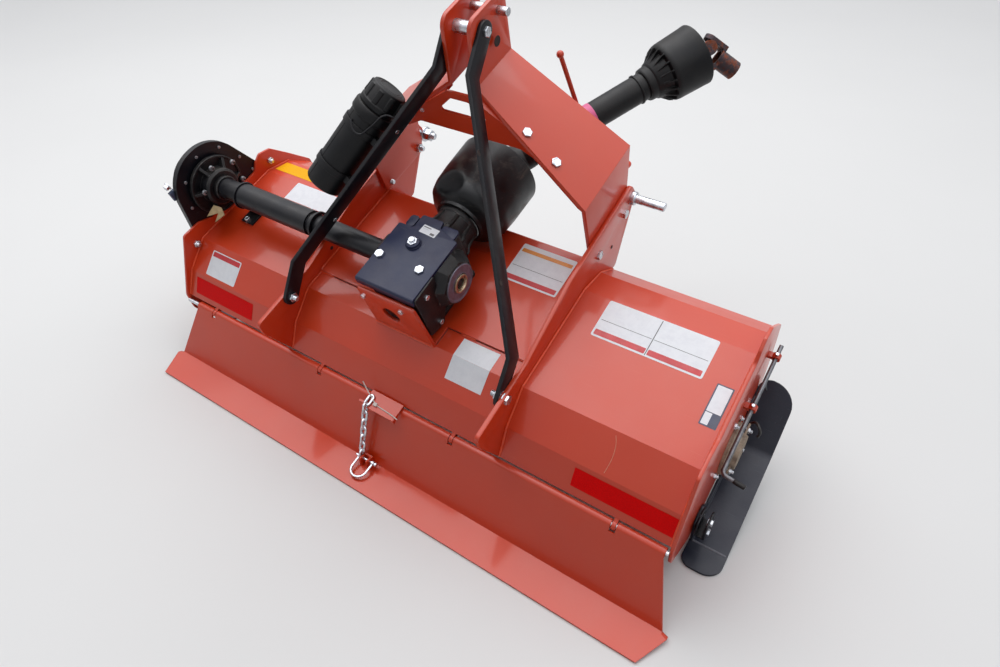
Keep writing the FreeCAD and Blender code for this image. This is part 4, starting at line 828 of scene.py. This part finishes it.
def gearbox_details():
    """The casting, seal and bore of the side shaft, corner pads, filler plug and label."""
    boss = on_side_shaft(110)
    opposite = axes((-110, DRIVE_BACK, DRIVE_HEIGHT), AHEAD, -UP)
    made("side_seal", SEAL, turned([
        (24.5, -6), (24.5, 0.4), (25.5, 1.6), (27, 1.6), (28, 0.6), (43, 0.6), (44, 1.8), (47.6, 1.8), (48.8, 0.6),
        (48.8, -1), (30, -1), (30, -6),
    ], boss, 64))
    made("side_bore", BRONZE, turned([
        (24.2, -8.5), (24.2, 3.8), (22.8, 5), (19.6, 5), (18.4, 3.8), (17.6, 1), (16.6, 1), (15.6, 2.4), (14.2, 2.4),
        (13.6, 0), (13.6, -8.5),
    ], boss, 48))
    # A dark disc of painted shade fills the bore's hole.
    hole = [(0, -4), (13.8, -4), (13.8, -3.2), (9, -3.2), (8, 0.4), (6.5, 1), (0, 1)]
    made("side_bore_shade", HOLE_SHADE, turned(hole, boss, 24))

    facets = [(50.5, -38), (74, -38), (75, -31), (70, -24), (58, -5), (55.5, -2.5), (50.5, -2.5)]
    face = [(0, -60), (50, -60), (50, -3), (49.2, -0.6), (31, -0.6), (31, -9), (0, -9)]
    parts = [turned(facets, place @ about_z(math.tau / 16), 8) for place in (boss, opposite)]
    parts += [turned(face, place, 64) for place in (boss, opposite)]
    parts.append(bar(-72, 72, -140, 62, 154, level(219.5), 3.5, 14))
    parts.append(bar(-76, 76, -98, 62, 11, level(219.5), 2.5, 10))
    parts.append(turned([
        (0, 40), (64, 40), (64, 70), (62, 74), (58, 76), (56, 80), (53.5, 92), (53.5, 116), (56, 119), (56, 128),
        (0, 128),
    ], INPUT, 64))
    parts += spokes(((64, 50), (118, 50), (118, 55), (84, 61), (74, 68), (64, 68)), 9, 1.5, INPUT, 8, math.tau / 16)
    upright = Matrix.Translation((48, 4, -37.9)) @ Matrix.Rotation(math.radians(90), 4, "X")
    for degrees in (52, 97, 142):
        place = boss @ about_z(math.radians(degrees)) @ upright
        parts.append(slab(((0, 0), (26, 0), (26, 6), (4, 20), (0, 20)), 8, place, 0, 1.5))
    parts.append(slab(((-150, 236), (-100, 226), (-78, 262), (-74, 379), (-150, 377)), 17, wall(72), 6, 1.6))
    casting = facing_out(joined("gearbox_casting", parts))
    park(paint(casting, CAST), "frame")
    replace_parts(casting, "gearbox")

    pads = [bar(x0, x1, 26, 61, 7, level(373), 2.5, 9) for x0, x1 in ((24, 71), (-71, -46))]
    made("gearbox_corners", COVER, *pads, slot="black_paint")
    collar = [(0, 0), (19.5, 0), (19.5, 2.5), (18, 3.5), (17, 8), (14.5, 9.5), (0, 9.5)]
    top = Matrix.Translation((-10, -17, COVER_TOP))
    made("filler_collar", COVER, turned(collar, top, 40), slot="black_paint")
    plug = hex_bolt(22, 6, 25)
    plug.data.transform(top @ Matrix.Translation((0, 0, 9.5)) @ about_z(0.35))
    cap = turned([(0, 0), (8, 0), (8, 6), (6.5, 7.5), (0, 7.5)], top @ Matrix.Translation((0, 0, 18)), 24)
    made("filler_plug", ZINC, plug, cap, slot="zinc")

    films = [sticker((Vector((0, 0, COVER_TOP)), REAR, UP), *layer) for layer in (
        (-21, 27, -42, -18, LABEL_WHITE, 0.4, 1.5),
        (-18, 4, -38, -35.4, LABEL_LINE, 0.6),
        (-18, 0, -32, -30.6, LABEL_FAINT, 0.6),
        (10, 22, -27, -21, LABEL_LINE, 0.6),
    )]
    askew = Matrix.Translation((3, 27, 0)) @ about_z(math.radians(-4)) @ Matrix.Translation((-3, -27, 0))
    for film in films:
        film.data.transform(askew)
    stuck("label_cover", films)


def gearbox_bolts():
    fasten("gearbox_bolts", hex_bolt(13, 7, 16), (
        (89, -116, 352, RIGHT, 12), (89, -108, 243, RIGHT, 30), (40, -164, 328, REAR, 20), (-75, -164, 325, REAR, 5),
    ))


# Left end


def round_bolt(radius, high):
    """A screw's round head, let into the surface by half its height."""
    head = rod(radius, 0, high, 24)
    pick(head, faces_up)
    bpy.ops.mesh.bevel(offset=0.12 * radius, segments=2)
    done_editing()
    return smooth(head)


def left_end():
    """Screws round the bearing housing and the gear case's flange, and what hangs beside them."""
    ring = [(-734, y, z, RIGHT, 0) for y, z in (
        (-22, 372), (40, 340), (38, 276), (-22, 243), (-78, 266), (-80, 333),
    )]
    rim = [(-770, y, z, RIGHT, 0) for y, z in (
        (47, 379), (83, 311), (-25, 404), (-94, 371.5), (-125, 301), (96, 250), (-132, 246),
    )]
    fasten("housing_screws", round_bolt(7.2, 7), ring, SCREW_GREY)
    fasten("case_screws", round_bolt(4.4, 6), rim, SCREW_GREY)
    # Dark discs of painted shade sit in the housing screws' sockets.
    socket = turned([(0, 0), (3.4, 0), (3.4, 0.5), (0, 0.5)], Matrix.Identity(4), 6)
    fasten("housing_socket_shade", socket, [(x + 6.8, *spot) for x, *spot in ring], HOLE_SHADE, None)
    collar = [(29, 0), (34, 0), (35, 2), (35, 12), (33, 14), (29, 14)]
    made("housing_collar", CAST, turned(collar, on_side_shaft(-726), 48), slot="black_paint")
    rings = [band(30, 37.4, 38.4, 0, wide, on_side_shaft(x)) for x, wide in ((-640, 5), (-352, 7))]
    made("tube_rings", BLACK, *rings, slot="black_paint")
    made("breather_block", BLUE_GREY, bar(-145, -116, 342, 370, 10, wall(-794), 2))
    fasten("tube_bracket_bolts", hex_bolt(15, 8, 22), ((-670, -50, 219.5, UP, 10), (-796, -136, 382, REAR, 0)))
    hanging = axes((-724, -86, 292), (0.8, -0.2, -0.5), (0.25, 0.85, 0.2))
    tag = slab(((0, 0), (12, -36), (26, -6), (40, -30), (42, 4), (20, 12)), 1.2, hanging, 0, 0.3)
    made("paper_tags", TAN_TAG, tag)


# Driveline


SHAFT_WAY = Vector((0.528, 0.842, 0.113)).normalized()
SHAFT_SIDE = SHAFT_WAY.cross(UP)
SHAFT = axes((0, 305, DRIVE_HEIGHT), SHAFT_SIDE, SHAFT_WAY.cross(SHAFT_SIDE))


def fine(section, step):
    """The same section with points added so that no side is longer than the step."""
    points = []
    for i, (r0, h0) in enumerate(section):
        r1, h1 = section[(i + 1) % len(section)]
        parts = max(1, int(math.hypot(r1 - r0, h1 - h0) / step))
        points += [(r0 + (r1 - r0) * k / parts, h0 + (h1 - h0) * k / parts) for k in range(parts)]
    return points


def shield():
    """Input shield: a deep plastic bell with a rounded back, dented flat where it was dropped."""
    outer = [(58, 129), (64, 129), (65, 137), (72, 141), (90, 150), (102, 164), (107, 184), (110, 230), (111, 319)]
    inner = [(107, 319), (106, 230), (103, 186), (98, 167), (88, 154), (72, 145), (60, 141), (58, 138)]
    section = fine(outer + inner, 7)
    hidden = {(round(r, 1), round(h, 1)) for r, h in section[section.index(inner[0]):]}
    piece = turned(section, Matrix.Identity(4), 96)
    middle = Vector((0, 0, 172))
    way = Vector((-0.25, 0.86, -0.45)).normalized()
    for vertex in piece.data.vertices:
        key = (round(math.hypot(vertex.co.x, vertex.co.y), 1), round(vertex.co.z, 1))
        limit = 80 if key in hidden else 84
        past = (vertex.co - middle).dot(way) - limit
        if past > 0:
            vertex.co -= past * way
    piece.data.transform(INPUT)
    smooth(facing_out(piece), 40)
    made("input_shield_bell", SHIELD_PLASTIC, piece, slot="black_plastic")
    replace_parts(piece, "input_shield")


def driveline_dress():
    """Bell guard with its ribbed cone, rings on the tubes and the tape round the front one."""
    bell = turned([
        (32.6, 446), (40, 446), (42, 448), (43, 452), (44, 466), (46.5, 468), (48, 470), (60, 503), (71, 506),
        (74.5, 510), (76, 518), (79.2, 596), (80, 598), (80, 602), (76.5, 602), (75.8, 596), (72.5, 520), (70, 512),
        (58, 509), (44, 507), (34, 503), (32.6, 500),
    ], SHAFT, 72)
    fins = spokes(((472, 46), (504, 57), (506, 73), (496, 68)), 3.4, 0.9, SHAFT, 18)
    made("bell_guard", PLASTIC, bell, *fins, slot="black_plastic", body="driveline_front")
    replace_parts(bell, "driveline_bell")
    rings = [band(36, 38.4, 39.2, start, wide, SHAFT) for start, wide in ((191, 9), (424, 5))]
    made("guard_rings", PLASTIC, *rings, slot="black_plastic", body="driveline_front")
    tape = turned([(36, 268), (36.9, 268), (36.9, 293), (36, 293)], SHAFT, 48)
    made("marking_tape", PINK_TAPE, tape, body="driveline_front")
    rings = [band(29.5, 33.4, 34.4, start, 6, SHAFT) for start in (102, 114)]
    made("rear_guard_rings", PLASTIC, *rings, slot="black_plastic")


# Canister


CAN_WAY = Vector((0.466, 0.676, 0.57)).normalized()
CAN_IN = Vector((0.885, -0.357, -0.301))
CAN = axes((-296.608, 17.462, 438.204), CAN_IN, CAN_WAY.cross(CAN_IN))


def canister_dress():
    """Tube with its collar, screw cap with grips, and the wire that keeps it on the brace."""
    tube = turned([
        (0, 0), (40, 0), (44.5, 1.5), (47, 5), (48, 10), (48, 205), (50.5, 208), (51.8, 211), (51.8, 230),
        (50.5, 233), (46, 235), (0, 235),
    ], CAN, 64)
    seam = bar(5, 205, 47.4, 48.7, 1.6, CAN @ about_z(-1.9) @ FIN, 0.4)
    made("canister_body", PLASTIC, tube, seam, slot="black_plastic")
    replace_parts(tube, "canister")
    cap = turned([
        (0, 235.4), (46, 235.4), (47.5, 238), (47.5, 248), (45.5, 250), (45, 252), (43.4, 283), (41, 288), (37, 290),
        (34, 290), (33.4, 289), (31.6, 289), (31, 290), (26, 290), (25.4, 289), (24, 289), (23.4, 290), (0, 290),
    ], CAN, 72)
    grips = spokes(((251, 41), (284, 40), (283, 45.6), (251, 47.4)), 13, 1.8, CAN, 9, 0.2)
    made("canister_lid", PLASTIC, cap, *grips, slot="black_plastic")
    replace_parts(cap, "canister_cap")
    route = [CAN @ about_z(math.radians(degrees)) @ Vector((radius, 0, height)) for radius, degrees, height in (
        (68, 4, 252), (60, -8, 252), (52, -20, 250), (51.2, -28, 244), (51.2, -34, 236), (54.8, -38, 214),
        (51.2, -42, 196), (51.2, -46, 180), (51.2, -54, 172), (51.2, -70, 172), (51.2, -84, 180), (51.2, -92, 188),
    )]
    made("canister_clip", BLACK, wire(route, 2.4, 12), slot="black_paint")


def brace_hole_shade():
    """Dark discs of painted shade in the open holes of the right brace and the gussets, and the screws that hold the
    canister.
    """
    across = Vector((0.885, 0.356, 0.301))
    places = [
        Matrix.Translation(spot) @ turn_to(way) @ Matrix.Scale(size, 4) for spot, way, size in (
            ((126.4, 133.3, 574.1), across, 1), ((253.6, -41.0, 406.1), across, 1),
            ((49.3, 362.3, 665.9), RIGHT, 1.7), ((341.7, 276.3, 210.2), RIGHT, 0.7), ((-329.3, -40, 240), RIGHT, 0.8),
        )
    ]
    lip = [(0, 0.15), (6.6, 0.15), (7.0, 0.5), (6.2, 0.7), (5.8, 0.3), (0, 0.3)]
    made("brace_hole_shade", SHADOW_GAP, *(turned(lip, place, 28) for place in places))
    inner = (0.885, -0.356, -0.301)
    fasten("canister_screws", hex_bolt(10, 5, 13), (
        (-120.0, 149.5, 544.2, inner, 10), (-248.9, -32.2, 380.2, inner, 34), (-124.5, 250, 525.1, REAR, 8),
    ))


# Seams and edges


def seams():
    """Weld seams where plates stand on the hood, painted over with the rest and lighter as a painted highlight, and
    strips of painted shadow along the doubler's edges.
    """
    beads = []

    def along_hood(x, lift, first, radius):
        points = [Vector((x, y, z)) for y, z in HOOD_FOLDS[first:]]
        for start, end in zip(points, points[1:]):
            out = RIGHT.cross(start - end).normalized()
            beads.append(weld(start + out * lift, end + out * lift, radius, out))

    for x, first in ((-760.5, 1), (760.5, 1), (-343, 0), (343, 0)):
        along_hood(x, 0.5, first, 3.4)
    for x in (-328, 328):
        beads.append(weld((x, 213, 219.8), (x, -101, 219.8), 3.4, UP))
        beads.append(weld((x, -106, 213.5), (x, -160, 213.5), 3.2, UP))
        along_hood(x, 0, 3, 3.2)
    for x0, x1, y, z, radius in (
        (-82, 96, -164.8, 214.2, 3.0), (-324, -280, -104.2, 214.5, 2.4), (-180, -140, -104.2, 214.5, 2.4),
        (140, 180, -104.2, 214.5, 2.4), (280, 324, -104.2, 214.5, 2.4),
    ):
        beads.append(weld((x0, y, z), (x1, y, z), radius, (0, -0.6, 0.8)))
    made("weld_seams", SEAM_WITH_HIGHLIGHT, *beads, slot="orange_paint")
    made("plate_shadow", SHADOW_GAP, *(bar(*box, 0.5, level(213.1), 0) for box in (
        (-326, -86, -104.4, -103.0), (100, 326, -104.4, -103.0), (98.2, 99.6, -155.8, -104.0),
        (-85.6, -84.2, -155.8, -104.0),
    )))
    shoes = [weld((777.5 * side, -204, -111.5), (777.5 * side, 66, -111.5), 3.0, (side, 0, 1)) for side in (-1, 1)]
    made("skid_seams", SKID_PAINT_WITH_SKY_TINT, *shoes, slot="black_paint")


# Skids


def corner_arc(centre, radius, start, end, steps=8):
    """Points of a rounded corner, from one angle to another in degrees."""
    points = []
    for step in range(steps + 1):
        angle = math.radians(start + (end - start) * step / steps)
        points.append((centre[0] + radius * math.cos(angle), centre[1] + radius * math.sin(angle)))
    return points


def skids():
    """Each skid: a shoe cut with rounded ends, folded up before and behind, and its upright web."""
    pad, flat, nose = 70, 275, 180
    folds = ((pad, LEAN), (pad + flat, math.radians(38)))
    outline = (
        corner_arc((796, 26), 26, 180, 270) + corner_arc((821, 40), 40, -90, 0)
        + corner_arc((801, 465), 60, 0, 90) + corner_arc((800, 495), 30, 90, 180)
    )
    shoe = slab(outline, 6, Matrix.Identity(4))
    editing(shoe)
    for fold, _ in folds:
        for step in range(-4, 5):
            bpy.ops.mesh.select_all(action="SELECT")
            bpy.ops.mesh.bisect(plane_co=(0, fold + 3 * step, 0), plane_no=(0, 1, 0))
    done_editing()

    def turned_by(v):
        return sum(angle * min(1, max(0, (v - fold + 12) / 24)) for fold, angle in folds) - LEAN

    # The shoe's line, a point for each millimetre along it, and each vertex laid on it.
    line = [(-205 - pad * math.cos(LEAN), -118 + pad * math.sin(LEAN))]
    for step in range(pad + flat + nose):
        angle = turned_by(step + 0.5)
        line.append((line[-1][0] + math.cos(angle), line[-1][1] + math.sin(angle)))
    for vertex in shoe.data.vertices:
        x, v, thick = vertex.co
        v = min(max(v, 0), len(line) - 1.001)
        (y, z), share, angle = line[int(v)], v - int(v), turned_by(v)
        vertex.co = (x, y + share * math.cos(angle) - thick * math.sin(angle),
                     z + share * math.sin(angle) + thick * math.cos(angle))
    web = slab((
        (-205, -115), (70, -115), (130, -68), (166, -20), (130, -20), (104, -96), (-113, -96), (-145, -20), (-195, -20),
    ), 6, wall(770.2), 7, 1.2)
    right = paint(joined("shoe_right", [smooth(shoe, 30), web]), SKID_PAINT_WITH_SKY_TINT)
    left = facing_out(copy_of(right, Matrix.Scale(-1, 4, RIGHT)))
    left.name = left.data.name = "shoe_left"
    for piece, node in ((right, "skid_right"), (left, "skid_left")):
        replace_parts(park(piece, "frame"), node)
    beads = []
    for x0, x1 in ((-777, -858), (777, 858)):
        beads.append(weld((x0, -204, -111.4), (x1, -204, -111.4), 3.2, UP))
        beads.append(weld((x0, 71, -110.8), (x1, 71, -110.8), 1.8, (0, -0.3, 1)))
    made("fold_welds", WELD_GREY, *beads)


# Right end


def right_end():
    """What stands between the right end plate and its skid: rod tip, depth plate, clips and clevis."""
    handle = axes((812, -108.4, 100), UP, Vector((1, -0.135, 0)).cross(UP))
    tip = turned([(0, 3), (5, 3), (5.6, 4), (5.8, 8), (5.6, 28), (4.4, 29.6), (0, 29.6)], handle, 20)
    made("handle_grip", PLASTIC, tip, slot="black_plastic")
    fasten("depth_nuts", hex_nut(13, 7, 18, 6), (
        (770, 62, 40, RIGHT, 10), (770, -86, 20, RIGHT, 20), (770, 20, 78, RIGHT, 5), (793, 66, -14, RIGHT, 4),
        (793, 12, -8, RIGHT, 25), (793, -52, -1, RIGHT, 12),
    ))
    made("depth_plate", BROWN_STEEL, slab(((-70, -10), (80, -24), (84, -6), (-62, 10)), 5, wall(788), 6, 1.2))
    fasten("skid_bolt", hex_bolt(22, 12, 34), ((776.2, 146, -34, RIGHT, 9), (776.2, -170, -34, RIGHT, 21)))
    made("hose_clip", TIE_BLACK, wire([
        (790, 96, -34), (800, 94, -14), (806, 88, -8), (812, 82, -10), (818, 78, -20), (819, 74, -30), (816, 70, -36),
    ], 3.4, 12))
    clip = axes((789, 196, -18), AHEAD, (-0.6, 0, 0.8))
    made("grey_clip", BRIGHT_STEEL, slab(((-9, -6), (9, -6), (12, 7), (-7, 9)), 3, clip, 2, 0.8))
    cheek = ((-208, -62), (-152, -62), (-150, -12), (-160, 2), (-196, 2), (-208, -14))
    cheeks = [slab(cheek, 5, wall(x), 6, 1.2) for x in (778, 798)]
    bridge = bar(-206, -160, -66, -60, 24, wall(779), 1.2)
    made("skid_clevis", BLACK, *cheeks, bridge, slot="black_paint")
    fasten("clevis_bolts", hex_bolt(15, 8, 20), ((803, -176, -18, RIGHT, 5), (803, -190, -46, RIGHT, 24)))
    stud = [(0, -4), (3, -4), (3, 3), (4.4, 3), (4.4, 5), (3.4, 6), (0, 6)]
    pins = [turned(stud, Matrix.Translation((788, y, 110)), 20) for y in (67, 212)]
    made("rod_lug_pins", ZINC, *pins, slot="zinc")


def chain():
    """The tab holds the chain's top; the chain's own shape stands for it, its edges rounded and a little thinner, tied
    to no body.
    """
    links = softened("chain", 0.1, ZINC, body=None, angle=180)
    editing(links)
    bpy.ops.transform.shrink_fatten(value=0.7 * MM)
    done_editing()
    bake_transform(links)


def loose_bits():
    """A long scratch in the hood's paint, and a cut cable tie on the chain's tab."""
    made("paint_scratch", SCRATCH, wire([
        (577.4, -168.5, 208.2), (582.8, -177.2, 203.2), (586.8, -191.4, 195.1), (588.4, -207.7, 185.8),
        (587.1, -224.9, 176.0), (584, -240.2, 167.3),
    ], 0.75, 8))
    tie = wire([
        (-60, -297, 136), (-48, -305, 128), (-30, -315, 119), (-14, -323, 114), (0, -330, 113.6), (30, -332, 113.6),
        (58, -334, 113.8), (72, -337, 114.4),
    ], 1.5, 8)
    made("cable_tie", NYLON, tie, bar(-9, 2, -334, -325, 5.5, level(112.4), 1.2))


# Labels and reflectors


def panel(index):
    """Start, direction down the sheet and outward normal of one of the hood's panels."""
    (y0, z0), (y1, z1) = HOOD_FOLDS[index:index + 2]
    along = Vector((0, y1 - y0, z1 - z0)).normalized()
    return Vector((0, y0, z0)), along, RIGHT.cross(-along).normalized()


def sticker(sheet, x0, x1, s0, s1, finish, lift, corner=0.0):
    """A thin film on a sheet, from x0 to x1 across it and from s0 to s1 along it."""
    start, along, normal = sheet
    nothing_selected()
    bpy.ops.mesh.primitive_plane_add(size=1)
    film = bpy.context.object
    middle = start + along * ((s0 + s1) / 2) + RIGHT * ((x0 + x1) / 2) + normal * lift
    spread = Matrix((RIGHT * (x1 - x0), -along * (s1 - s0), normal)).transposed().to_4x4()
    film.data.transform(Matrix.Translation(middle) @ spread)
    if corner:
        editing(film)
        bpy.ops.mesh.bevel(offset=corner, segments=4, affect="VERTICES")
        done_editing()
    return paint(film, finish)


def stuck(name, films):
    """Films laid on each other, joined as one piece."""
    return park(joined(name, films), "frame")


def labels():
    front, top, rear, edge = (panel(index) for index in (1, 2, 3, 4))
    plate = (Vector((0, 0, PLATE_TOP)), REAR, UP)
    for name, layers in (
        ("label_right", (
            (top, 414, 680, 2, 106, LABEL_WHITE, 0.4, 5.0),
            (top, 419, 544, 86, 101, LABEL_RED, 0.6, 2.0),
            (top, 550, 675, 86, 101, LABEL_RED, 0.6, 2.0),
            (top, 546, 548, 5, 103, LABEL_LINE, 0.6),
            (top, 419, 544, 58, 59.2, LABEL_LINE, 0.6),
            (top, 550, 675, 58, 59.2, LABEL_LINE, 0.6),
        )),
        ("label_serial", (
            (top, 713, 750, 99, 202, LABEL_NAVY, 0.4, 2.0),
            (top, 716, 747, 102, 168, LABEL_WHITE, 0.6, 1.0),
            (top, 716, 731, 170, 199, LABEL_WHITE, 0.6, 1.0),
        )),
        ("label_left", (
            (rear, -701, -581, 18, 91, LABEL_WHITE, 0.4, 4.0),
            (rear, -697, -585, 21, 35, LABEL_RED, 0.6, 1.5),
        )),
        ("label_left_front", (
            (top, -625, -397, 2, 84, LABEL_WHITE, 0.4, 5.0),
            (top, -620, -514, 68, 80, LABEL_RED, 0.6, 2.0),
            (top, -508, -402, 68, 80, LABEL_RED, 0.6, 2.0),
        )),
        ("label_centre", (
            (plate, 139, 292, -195, -78, LABEL_WHITE, 0.4, 4.0),
            (plate, 144, 287, -181, -170, LABEL_ORANGE, 0.6, 1.0),
            (plate, 144, 287, -97, -83, LABEL_RED, 0.6, 1.0),
            (plate, 144, 287, -126, -124.8, LABEL_LINE, 0.6),
        )),
        ("label_rear", (
            (top, 151, 254.5, 243, 292, LABEL_WHITE, 0.4),
            (rear, 151, 254.5, 0, 59, LABEL_WHITE, 0.4),
        )),
        ("reflector_right", ((edge, 522, 757, 11, 57, RED_FILM, 0.5, 1.5),)),
        ("reflector_left", ((edge, -734, -494, 12, 62, RED_FILM, 0.5, 1.5),)),
        ("reflector_front", ((front, -750, -512, 14, 63, YELLOW_FILM, 0.5, 1.5),)),
    ):
        stuck(name, [sticker(*layer) for layer in layers])


# Stage


def tinted(tree, value):
    """A light's brightness with the faint blue of an overcast sky."""
    colour = tree.nodes.new("ShaderNodeCombineColor")
    for socket, share in zip(colour.inputs, (0.98, 0.99, 1.03)):
        tree.links.new(times(tree, value, share), socket)
    return colour.outputs["Color"]


def overcast():
    """A soft dome, brighter overhead; the camera and mirrors see a sky of their own."""
    world = bpy.data.worlds.new("overcast")
    bpy.context.scene.world = world
    world.use_nodes = True
    tree = world.node_tree
    direction = tree.nodes.new("ShaderNodeTexCoord").outputs["Generated"]
    split = tree.nodes.new("ShaderNodeSeparateXYZ")
    tree.links.new(direction, split.inputs["Vector"])
    ahead = add(tree, "ShaderNodeVectorMath", operation="DOT_PRODUCT")
    ahead.inputs[1].default_value = (0.06, 0.5, 0.864)
    tree.links.new(direction, ahead.inputs[0])
    overhead = ramp_between(tree, ahead.outputs["Value"], 0.35, 0.9, 0.22, 1.25)
    horizon = ramp_between(tree, split.outputs["Z"], -0.02, 0.12, 0.55, 1.0)
    high = ramp_between(tree, split.outputs["Z"], 0.25, 0.92, 0.6, 2.6)
    ray = tree.nodes.new("ShaderNodeLightPath").outputs
    shown = combined(tree, "MAXIMUM", ray["Is Camera Ray"], ray["Is Glossy Ray"])
    shown = combined(tree, "MAXIMUM", shown, ray["Is Transmission Ray"])
    backdrop = add(tree, "ShaderNodeMix", data_type="RGBA")
    tree.links.new(shown, backdrop.inputs[0])
    tree.links.new(tinted(tree, times(tree, overhead, horizon)), backdrop.inputs[6])
    tree.links.new(tinted(tree, high), backdrop.inputs[7])
    tree.links.new(backdrop.outputs[2], tree.nodes["Background"].inputs["Color"])


def stage():
    """Pale floor, a soft overcast dome, one broad lamp and the photograph's camera."""
    nothing_selected()
    bpy.ops.mesh.primitive_circle_add(vertices=96, radius=30, fill_type="NGON", location=(0, 0, -0.0005))
    floor = bpy.context.object
    floor.name = "floor"
    ground = Finish("pale_floor", (0.72, 0.72, 0.71, 1), 0.85)
    paint(floor, ground.patches(0.3, 0.7, (0.9, 3), (0.69, 0.69, 0.68, 1), 0.5).material)
    overcast()

    bpy.ops.object.light_add(type="AREA", location=(-1.3, 1.0, 4.4))
    lamp = bpy.context.object
    lamp.name = "soft_box"
    lamp.data.shape = "RECTANGLE"
    lamp.data.size = 5.6
    lamp.data.size_y = 4.0
    lamp.data.energy = 130
    aim = Vector((0, 0, 0.3)) - lamp.location
    lamp.rotation_euler = aim.to_track_quat("-Z", "Y").to_euler()

    data = bpy.data.cameras.new("photo_camera")
    camera = bpy.data.objects.new("photo_camera", data)
    bpy.context.scene.collection.objects.link(camera)
    data.lens = 24
    data.sensor_width = 36
    data.clip_end = 200
    camera.location = (0.8825, ROTOR.y - 1.1239, 1.3863)
    camera.rotation_euler = (math.radians(90 - 40.70), 0, math.radians(33.62))
    bpy.context.scene.camera = camera
    bpy.context.scene.view_settings.view_transform = "Standard"


dress_solids()
softened_plates()
frame_fasteners()
gearbox_details()
gearbox_bolts()
left_end()
shield()
driveline_dress()
canister_dress()
brace_hole_shade()
seams()
skids()
right_end()
chain()
loose_bits()
labels()
stage()

nothing_selected()
bpy.context.view_layer.update()
